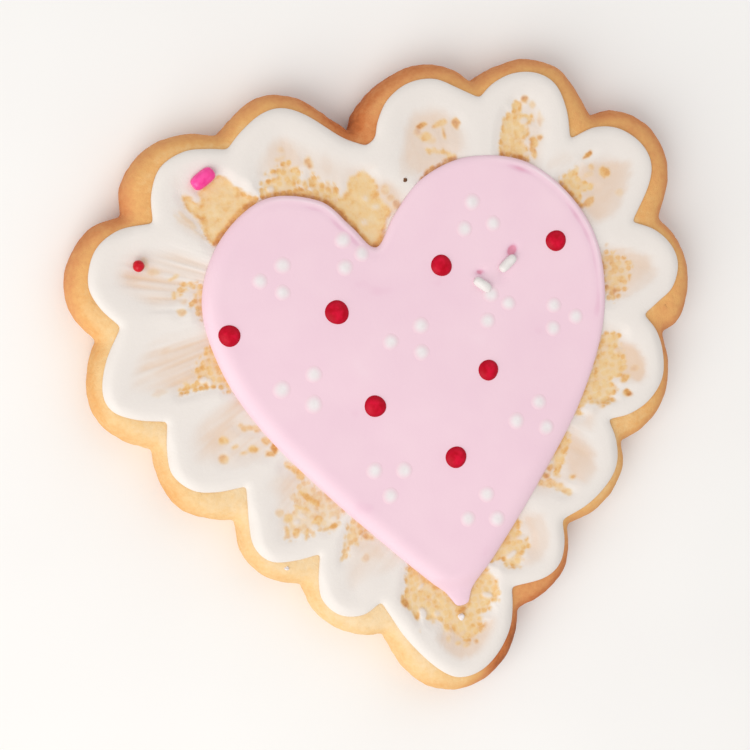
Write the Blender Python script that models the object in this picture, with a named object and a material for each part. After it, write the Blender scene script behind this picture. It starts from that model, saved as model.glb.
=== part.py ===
"""Iced sugar cookie: a scalloped heart of baked dough with white icing brushed
in from its edge and a smaller pink icing heart on top.

Frame: metres, +Z up.  The origin is the middle of the bounding box on the flat
underside.  +Y runs from the point of the heart to the cleft between its lobes
and +X runs across the lobes.  Sizes below are in millimetres.
"""

import bmesh
import bpy
import numpy as np

MM = 0.001

# Driving dimensions, mm
COOKIE_THICKNESS = 7.2
LACE_BEAD_HEIGHT = 0.8
LACE_BEAD_WIDTH = 2.6
LACE_FILM_HEIGHT = 0.3
LACE_RIDGE_HEIGHT = 0.3
HEART_ICING_HEIGHT = 2.2
HEART_RIM_HEIGHT = 0.25
PIECE_GAP = 0.3

# The baked edge, one row for each scallop, clockwise from the cleft seen from
# above: its notch, then points on its rounded edge up to the next notch.
COOKIE_SCALLOPS = [
    [(-1.2, 37.5), (0.9, 40.6), (5.6, 43.7), (10.6, 44.8), (15.0, 43.7)],
    [(18.0, 41.1), (22.2, 42.5), (27.0, 42.7), (31.2, 40.6), (33.3, 36.9)],
    [(34.7, 32.8), (38.6, 32.9), (42.3, 30.7), (44.6, 26.8), (44.8, 21.8)],
    [(42.1, 16.1), (44.2, 12.8), (45.0, 8.6), (44.2, 4.2), (41.9, 0.6)],
    [(39.2, -0.5), (39.3, -4.6), (38.3, -8.6), (36.0, -11.9), (32.6, -14.1)],
    [(29.6, -14.8), (29.3, -18.4), (26.7, -22.0), (23.0, -24.2)],
    [(19.1, -25.0), (18.6, -28.6), (16.8, -31.9), (13.2, -34.3)],
    [(9.2, -35.3), (8.2, -38.6), (5.8, -42.0), (1.6, -44.4), (-2.6, -44.7), (-6.7, -42.8), (-9.3, -39.2)],
    [(-11.1, -34.1), (-14.6, -33.4), (-17.9, -31.3), (-20.3, -28.2)],
    [(-21.2, -24.3), (-24.6, -23.0), (-27.3, -20.8), (-28.7, -17.4)],
    [(-28.7, -13.1), (-32.4, -12.0), (-35.8, -9.8), (-37.5, -6.6), (-38.1, -3.2)],
    [(-38.0, -0.8), (-41.9, 1.7), (-44.5, 4.9), (-45.1, 9.2), (-44.1, 13.0)],
    [(-42.4, 15.9), (-44.7, 19.8), (-45.1, 24.0), (-43.3, 28.3), (-39.6, 31.4)],
    [(-35.3, 32.1), (-34.6, 36.0), (-32.2, 39.1), (-28.3, 41.2), (-24.0, 41.5)],
    [(-19.8, 40.5), (-16.0, 43.3), (-12.0, 44.7), (-7.6, 43.6), (-4.4, 40.9)],
]

# The same for the outer edge of the white icing.
LACE_SCALLOPS = [
    [(0.2, 34.9), (1.7, 35.8), (2.6, 38.0), (4.7, 40.7), (8.1, 42.4), (11.9, 42.3), (15.0, 40.4)],
    [(17.9, 38.4), (20.5, 40.1), (23.8, 40.9), (27.2, 40.2), (29.5, 38.0), (30.3, 34.2)],
    [(30.0, 30.1), (34.0, 31.0), (37.5, 30.2), (40.4, 27.6), (41.5, 24.4), (40.4, 21.1)],
    [(36.9, 16.5), (40.2, 14.6), (42.2, 11.9), (42.6, 9.0), (41.0, 5.9), (38.6, 4.4)],
    [(35.9, 2.9), (37.5, 0.0), (37.9, -2.8), (37.1, -6.6), (34.4, -9.4), (31.0, -10.8)],
    [(27.5, -10.9), (28.2, -15.0), (27.1, -18.3), (24.8, -20.6), (21.6, -22.5)],
    [(17.7, -23.7), (17.5, -26.8), (16.1, -29.8), (13.3, -31.3)],
    [
        (8.2, -31.4), (7.4, -36.0), (5.0, -39.6), (1.5, -42.1),
        (-2.3, -42.3), (-5.4, -39.8), (-8.4, -35.3), (-10.2, -31.2),
    ],
    [(-11.1, -28.9), (-14.0, -30.1), (-17.2, -29.4), (-19.2, -26.8), (-19.2, -23.6)],
    [(-18.3, -20.1), (-22.0, -20.2), (-25.4, -19.5), (-27.2, -17.0), (-27.2, -13.4)],
    [(-26.6, -8.3), (-30.6, -8.2), (-34.0, -7.2), (-36.3, -4.4), (-36.3, -0.8)],
    [(-35.5, 3.0), (-39.6, 4.2), (-42.6, 6.1), (-43.3, 9.0), (-41.9, 13.0)],
    [(-39.0, 17.2), (-41.3, 20.5), (-42.1, 24.0), (-40.2, 28.2), (-36.4, 30.3)],
    [(-31.6, 30.3), (-31.0, 34.2), (-29.0, 37.6), (-25.3, 39.1), (-21.8, 38.8)],
    [(-19.3, 38.2), (-16.8, 40.3), (-13.6, 42.1), (-10.5, 42.4), (-7.2, 40.7), (-3.0, 36.9)],
]

# The pink heart: its cleft, lobes and narrow run-down point, clockwise.
HEART_POINTS = [
    (-1.4, 20.6),
    (2.2, 24.7),
    (7.3, 28.9),
    (14.5, 30.5),
    (22.6, 28.2),
    (28.4, 21.8),
    (31.0, 13.6),
    (29.4, 3.2),
    (23.4, -7.6),
    (14.6, -17.9),
    (7.2, -25.5),
    (2.8, -29.5),
    (1.8, -31.0),
    (1.3, -32.0),
    (-0.3, -32.1),
    (-1.0, -31.0),
    (-1.8, -29.6),
    (-3.5, -27.8),
    (-8.0, -22.2),
    (-15.6, -12.2),
    (-22.7, -1.4),
    (-26.7, 8.4),
    (-27.4, 18.0),
    (-23.2, 25.9),
    (-15.8, 30.4),
    (-8.2, 28.7),
    (-4.4, 24.3),
]

STEPS_PER_SCALLOP = 12
FINE_STEPS = 16
HEART_CENTRE = np.array((1.5, 6.0))

# Section of the cookie's baked edge: inset from the outline, height.
EDGE_SECTION = [
    (1.8, 0.0),
    (0.6, 0.5),
    (0.0, 2.0),
    (0.0, 4.2),
    (0.6, 5.8),
    (1.7, 6.7),
    (3.4, COOKIE_THICKNESS),
]


def clear_scene():
    """Remove every object of the scene."""
    for old in list(bpy.data.objects):
        bpy.data.objects.remove(old, do_unlink=True)


def catmull_rom(p0, p1, p2, p3, steps):
    """Points of the cubics from each p1 to its p2, steps for each, without the last."""
    t = np.linspace(0, 1, steps, endpoint=False)[None, :, None]
    bend = 2 * p1 + (p2 - p0) * t
    bend = bend + (2 * p0 - 5 * p1 + 4 * p2 - p3) * t**2
    bend = bend + (3 * p1 - p0 - 3 * p2 + p3) * t**3
    return (bend / 2).reshape(-1, 2)


def smooth_loop(points, steps):
    """Closed smooth curve through the points, with steps points for each."""
    p1 = np.array(points, dtype=float)[:, None, :]
    return catmull_rom(np.roll(p1, 1, axis=0), p1, np.roll(p1, -1, axis=0), np.roll(p1, -2, axis=0), steps)


def smooth_run(points, steps):
    """Smooth curve from the first point to the last, even, without its last point."""
    p = np.array(points, dtype=float)
    p = np.vstack((2 * p[0] - p[1], p, 2 * p[-1] - p[-2]))[:, None, :]
    dense = catmull_rom(p[:-3], p[1:-2], p[2:-1], p[3:], FINE_STEPS)
    return spread(np.vstack((dense, points[-1:])), np.linspace(0, 1, steps, endpoint=False))


def spread(line, fractions):
    """Points of the open polyline at these fractions of its length."""
    length = np.concatenate(([0], np.cumsum(np.linalg.norm(np.diff(line, axis=0), axis=1))))
    places = np.asarray(fractions) * length[-1]
    return np.stack([np.interp(places, length, line[:, axis]) for axis in (0, 1)], axis=1)


def soften(loop, passes):
    """Round a closed loop's corners by averaging each point with its neighbours."""
    for _ in range(passes):
        loop = 0.5 * loop + 0.25 * (np.roll(loop, 1, axis=0) + np.roll(loop, -1, axis=0))
    return loop


def scalloped_loop(scallops):
    """Closed outline of one smooth run for each scallop, its notches a little rounded."""
    ends = scallops[1:] + scallops[:1]
    runs = [smooth_run(row + end[:1], STEPS_PER_SCALLOP) for row, end in zip(scallops, ends)]
    return soften(np.concatenate(runs), 1)


def inset_loop(loop, distance):
    """The loop moved inwards by distance along its normals (clockwise loop)."""
    tangent = np.roll(loop, -1, axis=0) - np.roll(loop, 1, axis=0)
    tangent /= np.linalg.norm(tangent, axis=1)[:, None]
    inward = np.stack((tangent[:, 1], -tangent[:, 0]), axis=1)
    return loop + distance * inward


def distance_to_loop(points, loop):
    """Shortest distance from each point to the closed loop's edges."""
    start = loop[None]
    edge = np.roll(loop, -1, axis=0)[None] - start
    offset = points[:, None] - start
    along = np.sum(offset * edge, axis=2) / np.sum(edge * edge, axis=2)
    nearest = start + np.clip(along, 0, 1)[..., None] * edge
    return np.min(np.linalg.norm(points[:, None] - nearest, axis=2), axis=1)


def resample(loop, fractions):
    """Points of the closed loop at these fractions of its length."""
    return spread(np.vstack((loop, loop[:1])), fractions)


def ring(loop, height):
    """The loop's points in space, at one height or one height each."""
    return np.column_stack((loop, np.broadcast_to(height, len(loop))))


def skin(name, rings, capped, colour, roughness):
    """A closed solid through the rings, listed from its underside outwards and up.

    A capped solid gets a flat face on its first and last ring; the others join
    their last ring to their first.
    """
    count = len(rings[0])
    bm = bmesh.new()
    verts = [[bm.verts.new(point * MM) for point in points] for points in rings]
    bands = list(zip(verts[:-1], verts[1:]))
    if not capped:
        bands.append((verts[-1], verts[0]))
    for lower, upper in bands:
        for i in range(count):
            j = (i + 1) % count
            bm.faces.new((lower[i], upper[i], upper[j], lower[j]))
    if capped:
        bm.faces.new(verts[0])
        bm.faces.new(list(reversed(verts[-1])))
    mesh = bpy.data.meshes.new(name)
    bm.to_mesh(mesh)
    bm.free()
    mesh.shade_smooth()
    mesh.set_sharp_from_angle(angle=np.radians(40))
    piece = bpy.data.objects.new(name, mesh)
    bpy.context.collection.objects.link(piece)
    dress(piece, colour, roughness)
    return piece


def dress(piece, colour, roughness):
    """Give the piece its own plain material."""
    material = bpy.data.materials.new(piece.name)
    material.use_nodes = True
    shader = material.node_tree.nodes["Principled BSDF"]
    shader.inputs["Base Color"].default_value = (*colour, 1.0)
    shader.inputs["Roughness"].default_value = roughness
    shader.inputs["Metallic"].default_value = 0.0
    piece.data.materials.append(material)


def cookie_top(points, outline):
    """Height of the cookie's upper side under each point."""
    upper = [row for row in EDGE_SECTION if row[1] >= EDGE_SECTION[3][1]]
    insets, heights = zip(*upper)
    return np.interp(distance_to_loop(points, outline), insets, heights)


def build_cookie(outline):
    """The baked heart: flat underside, rounded scalloped edge, flat top."""
    rings = [ring(inset_loop(outline, inset), height) for inset, height in EDGE_SECTION]
    return skin("cookie_base", rings, True, (0.62, 0.36, 0.13), 0.75)


def matched_heart(heart, lace_outline):
    """Heart loop resampled so that it faces the lace outline point for point.

    The heart's nearest place to each notch is paired with that notch, and the
    points between are spread evenly.
    """
    dense = 2000
    even = resample(heart, np.arange(dense) / dense)
    notches = lace_outline[::STEPS_PER_SCALLOP]
    gaps = np.linalg.norm(notches[:, None] - even[None], axis=2)
    stations = np.argmin(gaps, axis=1) / dense
    stations[0] = 0.0
    scallop = np.arange(len(lace_outline)) / STEPS_PER_SCALLOP
    fractions = np.interp(scallop, np.arange(len(notches) + 1), np.append(stations, 1.0))
    return resample(heart, fractions)


def build_lace(outer, outline, heart):
    """The white icing: a bead along its scallops, thinned inwards to the heart.

    Across the ring it rises over the bead, falls to the film, and keeps a ridge
    where two scallops meet.
    """
    inner = matched_heart(inset_loop(heart, -PIECE_GAP), outer)
    reach = np.linalg.norm(inner - outer, axis=1)
    fraction = (np.arange(len(outer)) % STEPS_PER_SCALLOP) / STEPS_PER_SCALLOP
    ridge = LACE_RIDGE_HEIGHT * np.cos(np.pi * fraction) ** 8
    bead = LACE_BEAD_WIDTH / reach
    # across the ring: share of the way inwards, height above the cookie
    section = [
        (0.10 * bead, 0.0),
        (0.0 * bead, 0.4 * LACE_BEAD_HEIGHT),
        (0.25 * bead, 0.85 * LACE_BEAD_HEIGHT),
        (0.55 * bead, LACE_BEAD_HEIGHT),
        (bead, 0.75 * LACE_BEAD_HEIGHT + ridge / 2),
        (0.5 + 0.5 * bead, LACE_FILM_HEIGHT + ridge),
        (np.ones(len(outer)), LACE_FILM_HEIGHT + ridge / 2),
        (np.ones(len(outer)), 0.0),
        (0.5 + 0.5 * bead, 0.0),
        (bead, 0.0),
    ]
    rings = []
    for share, height in section:
        flat = outer + share[:, None] * (inner - outer)
        rings.append(ring(flat, cookie_top(flat, outline) + PIECE_GAP + height))
    return skin("lace_icing", rings, False, (0.86, 0.83, 0.79), 0.45)


def build_heart(heart, centre):
    """The pink icing heart: full sides, a raised rim, a gently crowned middle."""
    base = COOKIE_THICKNESS + PIECE_GAP
    # from the underside outwards and up: shrink towards the centre, height
    section = [
        (0.975, 0.0),
        (0.995, 0.3),
        (1.0, 0.8),
        (0.99, 1.5),
        (0.97, HEART_ICING_HEIGHT),
        (0.945, HEART_ICING_HEIGHT + HEART_RIM_HEIGHT),
        (0.91, HEART_ICING_HEIGHT - 0.1),
        (0.7, HEART_ICING_HEIGHT + 0.05),
        (0.4, HEART_ICING_HEIGHT + 0.15),
    ]
    rings = []
    for scale, height in section:
        rings.append(ring(centre + scale * (heart - centre), base + height))
    return skin("pink_heart_icing", rings, True, (0.90, 0.62, 0.72), 0.4)


def main():
    """Build the cookie from its base upwards, its outline centred on the origin."""
    clear_scene()
    outline = scalloped_loop(COOKIE_SCALLOPS)
    middle = (outline.min(axis=0) + outline.max(axis=0)) / 2
    outline = outline - middle
    lace_outline = scalloped_loop(LACE_SCALLOPS) - middle
    heart = soften(smooth_loop(HEART_POINTS, 6), 1) - middle
    build_cookie(outline)
    build_lace(lace_outline, outline, heart)
    build_heart(heart, HEART_CENTRE - middle)


main()
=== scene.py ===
"""Looks of a scalloped heart cookie with brushed white icing and a pink icing heart.

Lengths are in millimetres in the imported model's frame until a mesh is made: +Z up,
+Y from the point of the heart to the cleft, the underside at z = 0.  A closed outline
is an (n, 2) array that runs clockwise seen from above and starts at the cleft.
"""

import logging
import math
from dataclasses import dataclass
from enum import Enum
from functools import cached_property

import bpy
import numpy as np
from mathutils import Matrix, Vector


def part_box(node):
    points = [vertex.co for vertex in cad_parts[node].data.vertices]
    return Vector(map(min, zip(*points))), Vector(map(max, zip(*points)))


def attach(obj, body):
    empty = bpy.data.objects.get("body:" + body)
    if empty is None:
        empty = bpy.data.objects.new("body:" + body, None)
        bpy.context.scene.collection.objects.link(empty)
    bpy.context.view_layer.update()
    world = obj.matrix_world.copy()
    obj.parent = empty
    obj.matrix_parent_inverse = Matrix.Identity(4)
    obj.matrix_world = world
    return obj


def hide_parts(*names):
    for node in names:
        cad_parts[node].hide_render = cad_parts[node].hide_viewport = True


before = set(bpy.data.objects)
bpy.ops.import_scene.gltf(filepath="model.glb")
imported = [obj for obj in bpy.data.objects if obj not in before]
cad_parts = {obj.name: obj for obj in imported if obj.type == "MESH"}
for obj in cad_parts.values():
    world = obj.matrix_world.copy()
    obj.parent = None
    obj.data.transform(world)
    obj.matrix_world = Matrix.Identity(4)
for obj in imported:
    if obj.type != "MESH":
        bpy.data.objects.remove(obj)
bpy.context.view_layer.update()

MM = 0.001
LOG = logging.getLogger("cookie")

Array = np.ndarray
Points = tuple[tuple[float, float], ...]
Piece = bpy.types.Object
Tree = bpy.types.NodeTree
Socket = bpy.types.NodeSocket


# --- curves and fields ---------------------------------------------------------------


def smooth_step(value: Array, low: float, high: float) -> Array:
    """Rise from 0 at low to 1 at high along the cubic 3t^2 - 2t^3.

    Args:
        value: numbers to map.
        low: value that maps to 0.
        high: value that maps to 1; it may be less than low.

    Returns:
        The mapped numbers.
    """
    t = np.clip((value - low) / (high - low), 0.0, 1.0)
    return t * t * (3.0 - 2.0 * t)


def blur_ring(values: Array, sigma: float) -> Array:
    """Blur a closed run of values with a Gaussian.

    The spectrum is multiplied by exp(-2 (pi sigma f)^2), f in cycles per sample.

    Args:
        values: samples along axis 0, the last next to the first.
        sigma: width of the Gaussian in samples.

    Returns:
        The blurred values, of the same shape.
    """
    frequency = np.fft.rfftfreq(len(values))
    gain = np.exp(-2.0 * (np.pi * sigma * frequency) ** 2)
    gain = gain.reshape((-1,) + (1,) * (values.ndim - 1))
    return np.fft.irfft(np.fft.rfft(values, axis=0) * gain, n=len(values), axis=0)


def curve_through(points: Array, steps: int) -> Array:
    """Closed Catmull-Rom curve: a cubic between neighbours, tangent to their chord.

    Args:
        points: the points that it passes, (n, 2).
        steps: samples for each point.

    Returns:
        The samples as an (n * steps, 2) array.
    """
    p1 = np.asarray(points, float)[:, None, :]
    p0, p2, p3 = np.roll(p1, 1, 0), np.roll(p1, -1, 0), np.roll(p1, -2, 0)
    t = np.linspace(0.0, 1.0, steps, endpoint=False)[None, :, None]
    curve = 2.0 * p1 + (p2 - p0) * t
    curve = curve + (2.0 * p0 - 5.0 * p1 + 4.0 * p2 - p3) * t**2
    curve = curve + (3.0 * p1 - p0 - 3.0 * p2 + p3) * t**3
    return (curve / 2.0).reshape(-1, 2)


def run_length(points: Array) -> Array:
    """Length of an open polyline up to each of its points, (n,)."""
    return np.concatenate(([0.0], np.cumsum(np.linalg.norm(np.diff(points, axis=0), axis=1))))


def read_at(places: Array, reach: Array, points: Array) -> Array:
    """Points of a polyline at places along it, where its own points are at reach."""
    return np.stack([np.interp(places, reach, points[:, i]) for i in (0, 1)], axis=1)


def profile_curve(points: list[tuple[float, float]], count: int) -> Array:
    """Smooth open curve through a section's points, evenly spaced along its length.

    Args:
        points: the section's points.
        count: number of samples.

    Returns:
        The samples as a (count, 2) array.
    """
    ends = np.array(points, float)
    ends = np.vstack((2 * ends[:1] - ends[1:2], ends, 2 * ends[-1:] - ends[-2:-1]))
    steps = 40
    dense = curve_through(ends, steps)[steps : steps * len(points) + 1]
    reach = run_length(dense)
    return read_at(np.linspace(0.0, reach[-1], count), reach, dense)


class Loop:
    """A closed outline, sampled evenly along its length."""

    SAMPLES = 4000
    CHUNK = 4000

    def __init__(self, points: Array, rounding: float) -> None:
        """Sample the outline and round its corners.

        Args:
            points: the outline's points, clockwise, (n, 2).
            rounding: width in mm of the Gaussian that softens its corners.
        """
        self.points = self._even(points)
        around = np.roll(self.points, -1, 0) - self.points
        step = np.linalg.norm(around, axis=1).sum() / self.SAMPLES
        self.points = self._even(blur_ring(self.points, rounding / step))
        ahead = np.roll(self.points, -1, 0) - np.roll(self.points, 1, 0)
        ahead /= np.linalg.norm(ahead, axis=1)[:, None]
        self.inward = np.stack((ahead[:, 1], -ahead[:, 0]), axis=1)

    def _even(self, points: Array) -> Array:
        """Resample a closed polyline to evenly spaced points.

        Args:
            points: the polyline's points, (n, 2).

        Returns:
            The new points, (SAMPLES, 2).
        """
        closed = np.vstack((points, points[:1]))
        reach = run_length(closed)
        return read_at(np.linspace(0.0, reach[-1], self.SAMPLES, endpoint=False), reach, closed)

    def at(self, fraction: Array, inset: float = 0.0) -> Array:
        """Points at shares of the length, moved inwards along the normal.

        Args:
            fraction: shares of the length from the cleft, clockwise.
            inset: distance inwards in mm.

        Returns:
            The points as an (n, 2) array.
        """
        grid = np.arange(self.SAMPLES + 1) / self.SAMPLES
        moved = self.points + inset * self.inward
        return read_at(np.mod(fraction, 1.0), grid, np.vstack((moved, moved[:1])))

    def nearest(self, points: Array) -> tuple[Array, Array]:
        """Distance to the outline and the place on it that is closest.

        Args:
            points: places to measure from, (..., 2).

        Returns:
            Distance in mm, and the share of the length, both of shape (...).
        """
        flat = points.reshape(-1, 2)
        own = np.sum(self.points**2, axis=1)
        distance = np.empty(len(flat))
        index = np.empty(len(flat), int)
        for low in range(0, len(flat), self.CHUNK):
            part = flat[low : low + self.CHUNK]
            square = own - 2.0 * part @ self.points.T
            best = np.argmin(square, axis=1)
            index[low : low + self.CHUNK] = best
            gap = square[np.arange(len(part)), best] + np.sum(part**2, axis=1)
            distance[low : low + self.CHUNK] = np.sqrt(np.maximum(gap, 0.0))
        shape = points.shape[:-1]
        return distance.reshape(shape), (index / self.SAMPLES).reshape(shape)

    def columns(self, count: int, inset: float) -> Array:
        """Shares of the length that are even on the outline and inside its notches.

        The spacing is even along the mean of the outline's own step and that of the
        loop inset by this much, so a notch's fan of normals is not left coarse.

        Args:
            count: number of columns.
            inset: distance in mm to the inner loop.

        Returns:
            The shares, rising from 0.
        """
        inner = self.points + inset * self.inward
        step = np.linalg.norm(np.roll(self.points, -1, 0) - self.points, axis=1)
        step = step + np.linalg.norm(np.roll(inner, -1, 0) - inner, axis=1)
        reach = np.concatenate(([0.0], np.cumsum(step)))
        places = np.linspace(0.0, reach[-1], count, endpoint=False)
        return np.interp(places, reach, np.arange(self.SAMPLES + 1) / self.SAMPLES)


def round_angles(columns: int) -> Array:
    """Angles of a ring's columns, clockwise seen from above, (columns,)."""
    return -np.arange(columns) / columns * 2.0 * np.pi


@dataclass
class Grain:
    """Seeded smooth noise over the cookie's plan, with mean 0 and deviation 1.

    White noise on a square grid is blurred by a Gaussian as wide as the grain and
    read between grid points by bilinear weights.
    """

    seed: int
    size: float
    half: float = 52.0

    def __post_init__(self) -> None:
        """Make the grid of values."""
        self.cell = max(0.1, self.size / 3.0)
        count = int(round(2 * self.half / self.cell)) + 1
        white = np.random.default_rng(self.seed).standard_normal((count, count))
        sigma = self.size / self.cell
        rough = blur_ring(blur_ring(white, sigma).T, sigma).T
        self.values = rough / rough.std()

    def at(self, plan: Array) -> Array:
        """Value at each place.

        Args:
            plan: places in mm, (..., 2).

        Returns:
            The values, of shape (...).
        """
        last = self.values.shape[0] - 1.001
        place = np.clip((plan + self.half) / self.cell, 0.0, last)
        low = place.astype(int)
        share = place - low
        i, j = low[..., 0], low[..., 1]
        a, b = share[..., 0], share[..., 1]
        near = self.values[i, j] * (1 - b) + self.values[i, j + 1] * b
        far = self.values[i + 1, j] * (1 - b) + self.values[i + 1, j + 1] * b
        return near * (1 - a) + far * a


@dataclass(frozen=True)
class Dimples:
    """Small dimples of a crumb, one in each cell of a jittered grid."""

    seed: int
    size: float

    def at(self, plan: Array) -> Array:
        """How deep in a dimple places are.

        The distance to the nearest of the dimples' middles, in cells, falls from 0.6
        to 0.3 as the depth rises from 0 to 1.

        Args:
            plan: places in mm, (..., 2).

        Returns:
            Depth from 0 to 1, (...).
        """
        jitter = np.random.default_rng(self.seed).uniform(0.2, 0.8, (64, 64, 2))
        cells = plan / self.size
        gap = np.full(plan.shape[:-1], 9.0)
        for step in np.ndindex(3, 3):
            cell = np.floor(cells).astype(int) + step - 1
            middle = cell + jitter[cell[..., 0] % 64, cell[..., 1] % 64]
            gap = np.minimum(gap, np.linalg.norm(cells - middle, axis=-1))
        return smooth_step(gap, 0.6, 0.3)


# --- meshes --------------------------------------------------------------------------


def skin(name: str, points: Array, capped: bool, marks: dict[str, Array]) -> Piece:
    """Make one object of closed skins, each a grid of rings.

    Rings run clockwise seen from above, from the underside outwards and up.  A capped
    skin gets a point in the middle of its first and last ring; any other joins its
    last ring to its first.

    Args:
        name: the object's name.
        points: (skins, rings, columns, 3) or (rings, columns, 3), in mm.
        capped: whether the first and last rings are closed by a fan.
        marks: values for each point, of the same shape without the last axis.

    Returns:
        The object, at the origin and shaded smooth.
    """
    grid = points if points.ndim == 4 else points[None]
    skins, rings, columns = grid.shape[:3]
    index = np.arange(skins * rings * columns).reshape(skins, rings, columns)
    if not capped:
        index = np.concatenate((index, index[:, :1]), axis=1)
    turned = np.roll(index, -1, axis=2)
    quads = np.stack((index[:, :-1], index[:, 1:], turned[:, 1:], turned[:, :-1]), axis=-1)
    corners = [quads.reshape(-1)]
    sizes = [np.full(quads.size // 4, 4)]
    places = [grid.reshape(-1, 3)]
    values = {key: [np.asarray(mark, float).reshape(-1)] for key, mark in marks.items()}
    if capped:
        for end, order in ((0, (0, 2, 1)), (-1, (0, 1, 2))):
            pole = sum(len(part) for part in places) + np.arange(skins)
            hub = np.broadcast_to(pole[:, None], (skins, columns))
            fan = np.stack((index[:, end], hub, turned[:, end]), axis=-1)[..., list(order)]
            corners.append(fan.reshape(-1))
            sizes.append(np.full(skins * columns, 3))
            places.append(grid[:, end].mean(axis=1))
            for key, mark in marks.items():
                whole = np.asarray(mark, float).reshape(skins, rings, columns)
                values[key].append(whole[:, end].mean(axis=1))
    return mesh_object(name, np.vstack(places), corners, sizes, values)


def mesh_object(
    name: str,
    places: Array,
    corners: list[Array],
    sizes: list[Array],
    values: dict[str, list[Array]],
) -> Piece:
    """Put whole arrays into a new mesh.

    Args:
        name: the object's name.
        places: points in mm, (n, 3).
        corners: the faces' point numbers, in runs.
        sizes: each face's number of corners, in runs.
        values: named values for each point, in runs.

    Returns:
        The object that holds the mesh.
    """
    loops = np.concatenate(corners).astype(np.int32)
    totals = np.concatenate(sizes).astype(np.int32)
    mesh = bpy.data.meshes.new(name)
    mesh.vertices.add(len(places))
    mesh.vertices.foreach_set("co", (places * MM).astype(np.float32).ravel())
    mesh.loops.add(len(loops))
    mesh.loops.foreach_set("vertex_index", loops)
    mesh.polygons.add(len(totals))
    starts = np.concatenate(([0], np.cumsum(totals)[:-1])).astype(np.int32)
    mesh.polygons.foreach_set("loop_start", starts)
    mesh.polygons.foreach_set("use_smooth", np.ones(len(totals), bool))
    mesh.update(calc_edges=True)
    mesh.validate()
    for key, runs in values.items():
        mark = mesh.attributes.new(key, "FLOAT", "POINT")
        mark.data.foreach_set("value", np.concatenate(runs).astype(np.float32))
    piece = bpy.data.objects.new(name, mesh)
    bpy.context.scene.collection.objects.link(piece)
    return piece


def finish_piece(piece: Piece, material: bpy.types.Material) -> Piece:
    """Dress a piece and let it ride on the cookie's body.

    Args:
        piece: the piece.
        material: its material.

    Returns:
        The piece.
    """
    piece.data.materials.append(material)
    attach(piece, "root")
    LOG.info("%s: %d faces", piece.name, len(piece.data.polygons))
    return piece


# --- materials -----------------------------------------------------------------------


def linear(hex_colour: str) -> tuple[float, float, float, float]:
    """Turn an sRGB hex colour into linear RGBA.

    Args:
        hex_colour: six hex digits.

    Returns:
        Linear red, green, blue and an alpha of 1.
    """
    parts = [int(hex_colour[i : i + 2], 16) / 255.0 for i in (0, 2, 4)]
    red, green, blue = (c / 12.92 if c <= 0.04045 else ((c + 0.055) / 1.055) ** 2.4 for c in parts)
    return red, green, blue, 1.0


def add_node(tree: Tree, kind: str, settings: dict, links: dict) -> bpy.types.Node:
    """Add one node.

    Args:
        tree: the node tree.
        kind: the node's type name.
        settings: values of its properties, or of its input sockets by name or number.
        links: input socket by name or number, to the output socket that feeds it.

    Returns:
        The node.
    """
    node = tree.nodes.new(kind)
    for key, value in settings.items():
        if isinstance(key, str) and hasattr(node, key):
            setattr(node, key, value)
        else:
            node.inputs[key].default_value = value
    for key, output in links.items():
        tree.links.new(output, node.inputs[key])
    return node


def colour_ramp(tree: Tree, factor: Socket, stops: list[tuple[float, str]]) -> Socket:
    """Map a factor to colours through a ramp.

    Args:
        tree: the node tree.
        factor: the socket that drives it.
        stops: place from 0 to 1 and sRGB hex colour of each stop.

    Returns:
        The ramp's colour socket.
    """
    node = add_node(tree, "ShaderNodeValToRGB", {}, {"Fac": factor})
    band = node.color_ramp
    while len(band.elements) < len(stops):
        band.elements.new(1.0)
    for element, (place, colour) in zip(band.elements, stops):
        element.position = place
        element.color = linear(colour)
    return node.outputs["Color"]


@dataclass(frozen=True)
class Finish:
    """A finish: its material's name, its gloss and how it is drawn."""

    name: str
    roughness: float
    specular: float = 0.5

    def start(self) -> tuple[bpy.types.Material, Tree, bpy.types.Node, Socket]:
        """Make the material.

        Returns:
            The material, its tree, its shader node and its Object coordinates.
        """
        material = bpy.data.materials.new(self.name)
        material.use_nodes = True
        tree = material.node_tree
        shader = tree.nodes["Principled BSDF"]
        shader.inputs["Roughness"].default_value = self.roughness
        shader.inputs["Specular IOR Level"].default_value = self.specular
        place = add_node(tree, "ShaderNodeTexCoord", {}, {}).outputs["Object"]
        return material, tree, shader, place

    @staticmethod
    def grain(tree: Tree, place: Socket, size_mm: float, detail: float) -> Socket:
        """Noise whose grains are about size_mm across, as a value from 0 to 1."""
        settings = {"Scale": 1.0 / (size_mm * MM), "Detail": detail, "Roughness": 0.6}
        return add_node(tree, "ShaderNodeTexNoise", settings, {"Vector": place}).outputs["Fac"]

    @staticmethod
    def bump(tree: Tree, height: Socket, depth_mm: float, before: Socket | None = None) -> Socket:
        """Raise the surface by depth_mm where height is 1.

        Args:
            tree: the node tree.
            height: the socket that gives the height from 0 to 1.
            depth_mm: how far it is raised.
            before: the normal of a coarser bump below, if there is one.

        Returns:
            The socket of the new normal.
        """
        links = {"Height": height}
        if before is not None:
            links["Normal"] = before
        settings = {"Strength": 1.0, "Distance": depth_mm * MM}
        return add_node(tree, "ShaderNodeBump", settings, links).outputs["Normal"]

    @staticmethod
    def mark(tree: Tree, name: str) -> Socket:
        """Value of a named attribute of the mesh."""
        return add_node(tree, "ShaderNodeAttribute", {"attribute_name": name}, {}).outputs["Fac"]


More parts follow.
